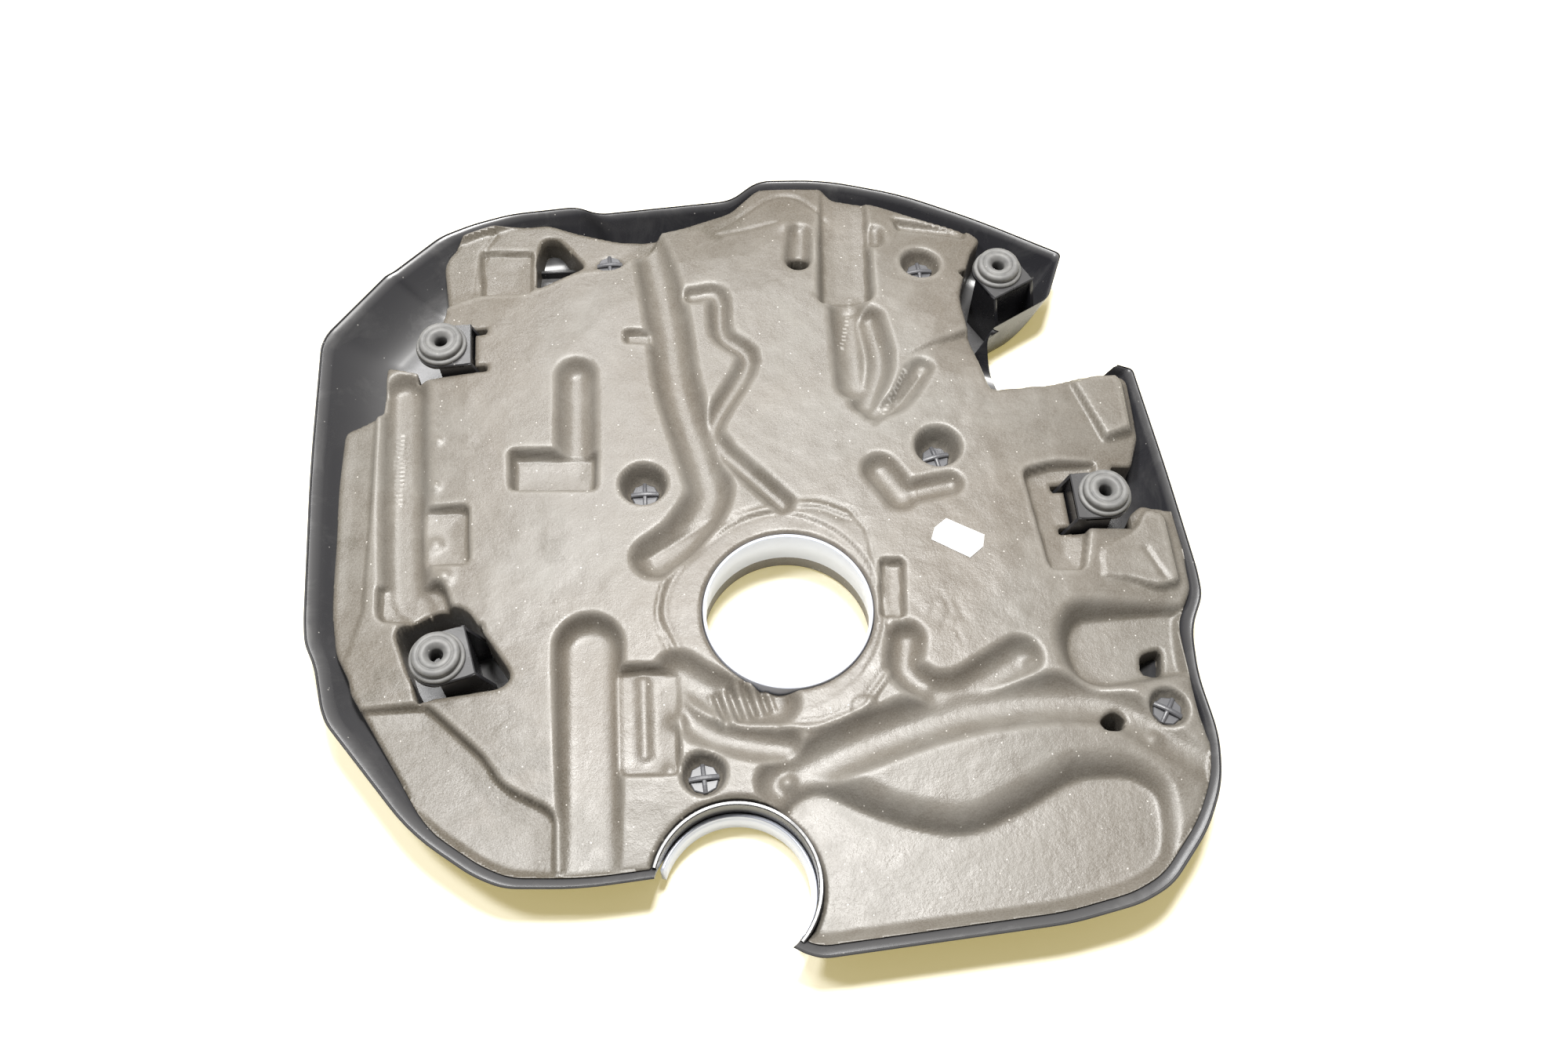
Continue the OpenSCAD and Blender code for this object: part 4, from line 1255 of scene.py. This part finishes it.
for share_socket, layer_colour in (
        (math_node(skin_group, "MULTIPLY", middle, 0.55), DARK_MOTTLE),
        # darker and olive: grime, and painted shade near the rim
        (math_node(skin_group, "MULTIPLY", skin_in.outputs["Grime and shade"], 0.75), OLIVE_GRIME_AND_SHADE),
        (ramp(skin_group, fine, 0.35, 0.65, 0.0, 0.45), PALE_GRAIN),
        # paler on crests: a painted highlight, with rubbed wear
        (ramp(skin_group, skin_in.outputs["Crest"], 0.06, 0.6, 0.0, 0.22), CREST_HIGHLIGHT_AND_RUB),
        # darker in hollows: painted shade, with dirt
        (ramp(skin_group, skin_in.outputs["Crest"], -0.6, -0.08, 0.16, 0.0), HOLLOW_SHADE_AND_DIRT),
        (ramp(skin_group, skin_in.outputs["Scuff"], 0.4, 1.0, 0.0, 0.7), PIPE_MARK)):
    tone = mix_colour(skin_group, share_socket, tone, layer_colour)
skin_group.links.new(tone, skin_out.inputs["Colour"])
skin_group.links.new(ramp(skin_group, middle, 0.0, 1.0, 0.44, 0.34), skin_out.inputs["Roughness"])
pores = math_node(skin_group, "MULTIPLY", fine, PORE_DEPTH)
lumps = math_node(skin_group, "MULTIPLY", noise(skin_group, place, 120.0, 5.0, 0.62), LUMP_DEPTH)
skin_group.links.new(math_node(skin_group, "ADD", pores, lumps), skin_out.inputs["Height"])
print("node groups:", [g.name for g in bpy.data.node_groups])

# %% [markdown]
# ## Materials
# The shaders themselves are simple. Foam skin has a soft sheen, the shell is dark glossy plastic under a
# film of dust, with its upward faces painted paler as dust and painted sheen, rubber is dull, and the silver
# parts are painted or plated plastic, so their metal look is not a full mirror.

# %% Helpers for materials
def new_material(name, colour=(0.5, 0.5, 0.5), rough=0.5, metal=0.0):
    """A material, its node tree and its shader. The colour and roughness hold until nodes are plugged in."""
    material = bpy.data.materials.new(name)
    material.use_nodes = True
    shader = material.node_tree.nodes["Principled BSDF"]
    shader.inputs["Base Color"].default_value = (*colour, 1.0)
    shader.inputs["Roughness"].default_value = rough
    shader.inputs["Metallic"].default_value = metal
    return material, material.node_tree, shader


def use_group(tree, group, **values):
    node = add(tree, "ShaderNodeGroup", node_tree=group)
    for key, value in values.items():
        node.inputs[key].default_value = value
    return node


def bump_from(tree, shader, height):
    """Plug a height in metres into a shader's normal."""
    bump = add(tree, "ShaderNodeBump")
    bump.inputs["Distance"].default_value = 1.0
    bump.inputs["Strength"].default_value = 1.0
    tree.links.new(height, bump.inputs["Height"])
    tree.links.new(bump.outputs["Normal"], shader.inputs["Normal"])


def film(tree, amount, share, colour, dust_colour):
    """Dust or smears, as strong as share, over a colour."""
    return mix_colour(tree, math_node(tree, "MULTIPLY", amount, share), colour, dust_colour)


def dress(obj, material):
    obj.data.materials.clear()
    obj.data.materials.append(material)


print("materials so far:", len(bpy.data.materials))

# %% Foam skin material
foam_material, tree, shader = new_material("foam skin, taupe")
skin = use_group(tree, skin_group)
for attribute, socket in (("crest", "Crest"), ("grime_and_shade", "Grime and shade"), ("scuff", "Scuff")):
    source = add(tree, "ShaderNodeAttribute", attribute_name=attribute)
    tree.links.new(source.outputs["Fac"], skin.inputs[socket])
dust = use_group(tree, dust_group, Amount=0.30)
colour = film(tree, dust.outputs["Smears"], 0.16, skin.outputs["Colour"], (0.31, 0.29, 0.26))
colour = film(tree, dust.outputs["Specks"], 0.8, colour, (0.66, 0.63, 0.585))
tree.links.new(colour, shader.inputs["Base Color"])
tree.links.new(skin.outputs["Roughness"], shader.inputs["Roughness"])
shader.inputs["Specular IOR Level"].default_value = 0.5
bump_from(tree, shader, skin.outputs["Height"])
dress(foam, foam_material)
print(foam_material.name, "has", len(tree.nodes), "nodes")

# %% Dusty black plastic of the shell
LINT = (0.6, 0.58, 0.54)
shell_material, tree, shader = new_material("black plastic, dusty", (0.02, 0.02, 0.024), 0.36)
dust = use_group(tree, dust_group, Amount=0.16)
colour = film(tree, dust.outputs["Smears"], 0.10, (0.019, 0.019, 0.022), (0.22, 0.215, 0.20))
colour = film(tree, dust.outputs["Specks"], 0.5, colour, LINT)
# faces that look up are painted paler: a film of dust, and a painted sheen of the light from above
facing = add(tree, "ShaderNodeSeparateXYZ")
tree.links.new(add(tree, "ShaderNodeNewGeometry").outputs["Normal"], facing.inputs[0])
colour = mix_colour(tree, ramp(tree, facing.outputs["Z"], 0.55, 0.90, 0.0, 0.22), colour, (0.20, 0.196, 0.19))
tree.links.new(colour, shader.inputs["Base Color"])
tree.links.new(ramp(tree, dust.outputs["Smears"], 0.0, 1.0, 0.27, 0.50), shader.inputs["Roughness"])
dress(shell, shell_material)
print(shell_material.name, "has", len(tree.nodes), "nodes")

# %% Silver, rubber, clip plastic and paper
silver_material = new_material("silver paint", (0.60, 0.63, 0.71), 0.34, 0.22)[0]
for piece in (sleeve, silver_arc):
    dress(piece, silver_material)

rubber_material, tree, shader = new_material("grey-black rubber", (0.11, 0.11, 0.115), 0.55)
bloom = ramp(tree, noise(tree, object_place(tree), 160.0, 4.0, 0.6), 0.35, 0.75)
colour = mix_colour(tree, bloom, (0.115, 0.114, 0.112), (0.18, 0.177, 0.17))
dust = use_group(tree, dust_group, Amount=0.12)
colour = film(tree, dust.outputs["Specks"], 0.5, colour, LINT)
tree.links.new(colour, shader.inputs["Base Color"])
for piece in grommets:
    dress(piece, rubber_material)

clip_material = new_material("clip plastic, grey", (0.075, 0.075, 0.081), 0.40)[0]
for piece in clips:
    dress(piece, clip_material)

paper_material = new_material("white paper", (0.70, 0.70, 0.69), 0.6)[0]
dress(label, paper_material)
print("dressed:", [m.name for m in (silver_material, rubber_material, clip_material, paper_material)])

# %% [markdown]
# ## Floor and light
# The photograph was taken on a pale, almost blown-out surface. A lamp nearly overhead gives the short warm
# shadow along the near edge, a bright ceiling behind gives the streaks on the foam's ridges, and a small
# flash beside the camera opens the dark walls. One large lamp would be simpler, but it would lose both the
# shadow and the streaks. The floor glows a little where the camera looks at it, so that it is as pale as in
# the photograph without throwing yellow light on the cover.

# %% Floor
FLOOR_GLOW = (0.33, 0.265, 0.075, 1.0)
floor_mesh = bpy.data.meshes.new("floor")
FLOOR_CORNERS = [(-4, -3, 0), (4, -3, 0), (4, 5, 0), (-4, 5, 0)]
floor_mesh.from_pydata(FLOOR_CORNERS, [], [(0, 1, 2, 3)])
floor = bpy.data.objects.new("floor", floor_mesh)
bpy.context.scene.collection.objects.link(floor)
floor_material, tree, shader = new_material("pale floor", (0.88, 0.86, 0.78), 0.9)
shader.inputs["Specular IOR Level"].default_value = 0.1
dress(floor, floor_material)
rays = add(tree, "ShaderNodeLightPath")
mirrored = math_node(tree, "MAXIMUM", rays.outputs["Is Glossy Ray"], rays.outputs["Is Transmission Ray"])
seen = math_node(tree, "MAXIMUM", rays.outputs["Is Camera Ray"], mirrored)
tree.links.new(seen, shader.inputs["Emission Strength"])
shader.inputs["Emission Color"].default_value = FLOOR_GLOW
print("floor:", len(floor_mesh.vertices), "corners")

# %% World and lamps
world = bpy.data.worlds.new("studio")
bpy.context.scene.world = world
world.use_nodes = True
background = world.node_tree.nodes["Background"]
background.inputs["Color"].default_value = (1.0, 0.965, 0.91, 1.0)
background.inputs["Strength"].default_value = 0.28


def soft_lamp(name, place, aim, width, height, watts, colour=(1, 1, 1)):
    """A rectangular lamp at a place, turned towards its aim."""
    lamp = bpy.data.lights.new(name, "AREA")
    lamp.shape = "RECTANGLE"
    lamp.size, lamp.size_y = width, height
    lamp.energy = watts
    lamp.color = colour
    obj = bpy.data.objects.new(name, lamp)
    bpy.context.scene.collection.objects.link(obj)
    obj.location = place
    obj.rotation_euler = (Vector(aim) - Vector(place)).to_track_quat("-Z", "Y").to_euler()
    return obj


COVER_MIDDLE = (0.0, 0.07, 0.0)
key = soft_lamp("studio_lamp", (0.06, 0.34, 1.80), COVER_MIDDLE, 0.30, 0.30, 50.0, (1.0, 0.99, 0.97))
ceiling = soft_lamp("bright_ceiling", (-0.25, 1.55, 2.10), COVER_MIDDLE, 0.7, 0.6, 30.0)
fill = soft_lamp("flash_beside_camera", (-0.48, 0.10, 1.25), (-0.14, 0.12, 0.0), 0.20, 0.20, 10.0)
bpy.context.scene.view_settings.view_transform = "Standard"
print("lamps:", key.name, ceiling.name, fill.name)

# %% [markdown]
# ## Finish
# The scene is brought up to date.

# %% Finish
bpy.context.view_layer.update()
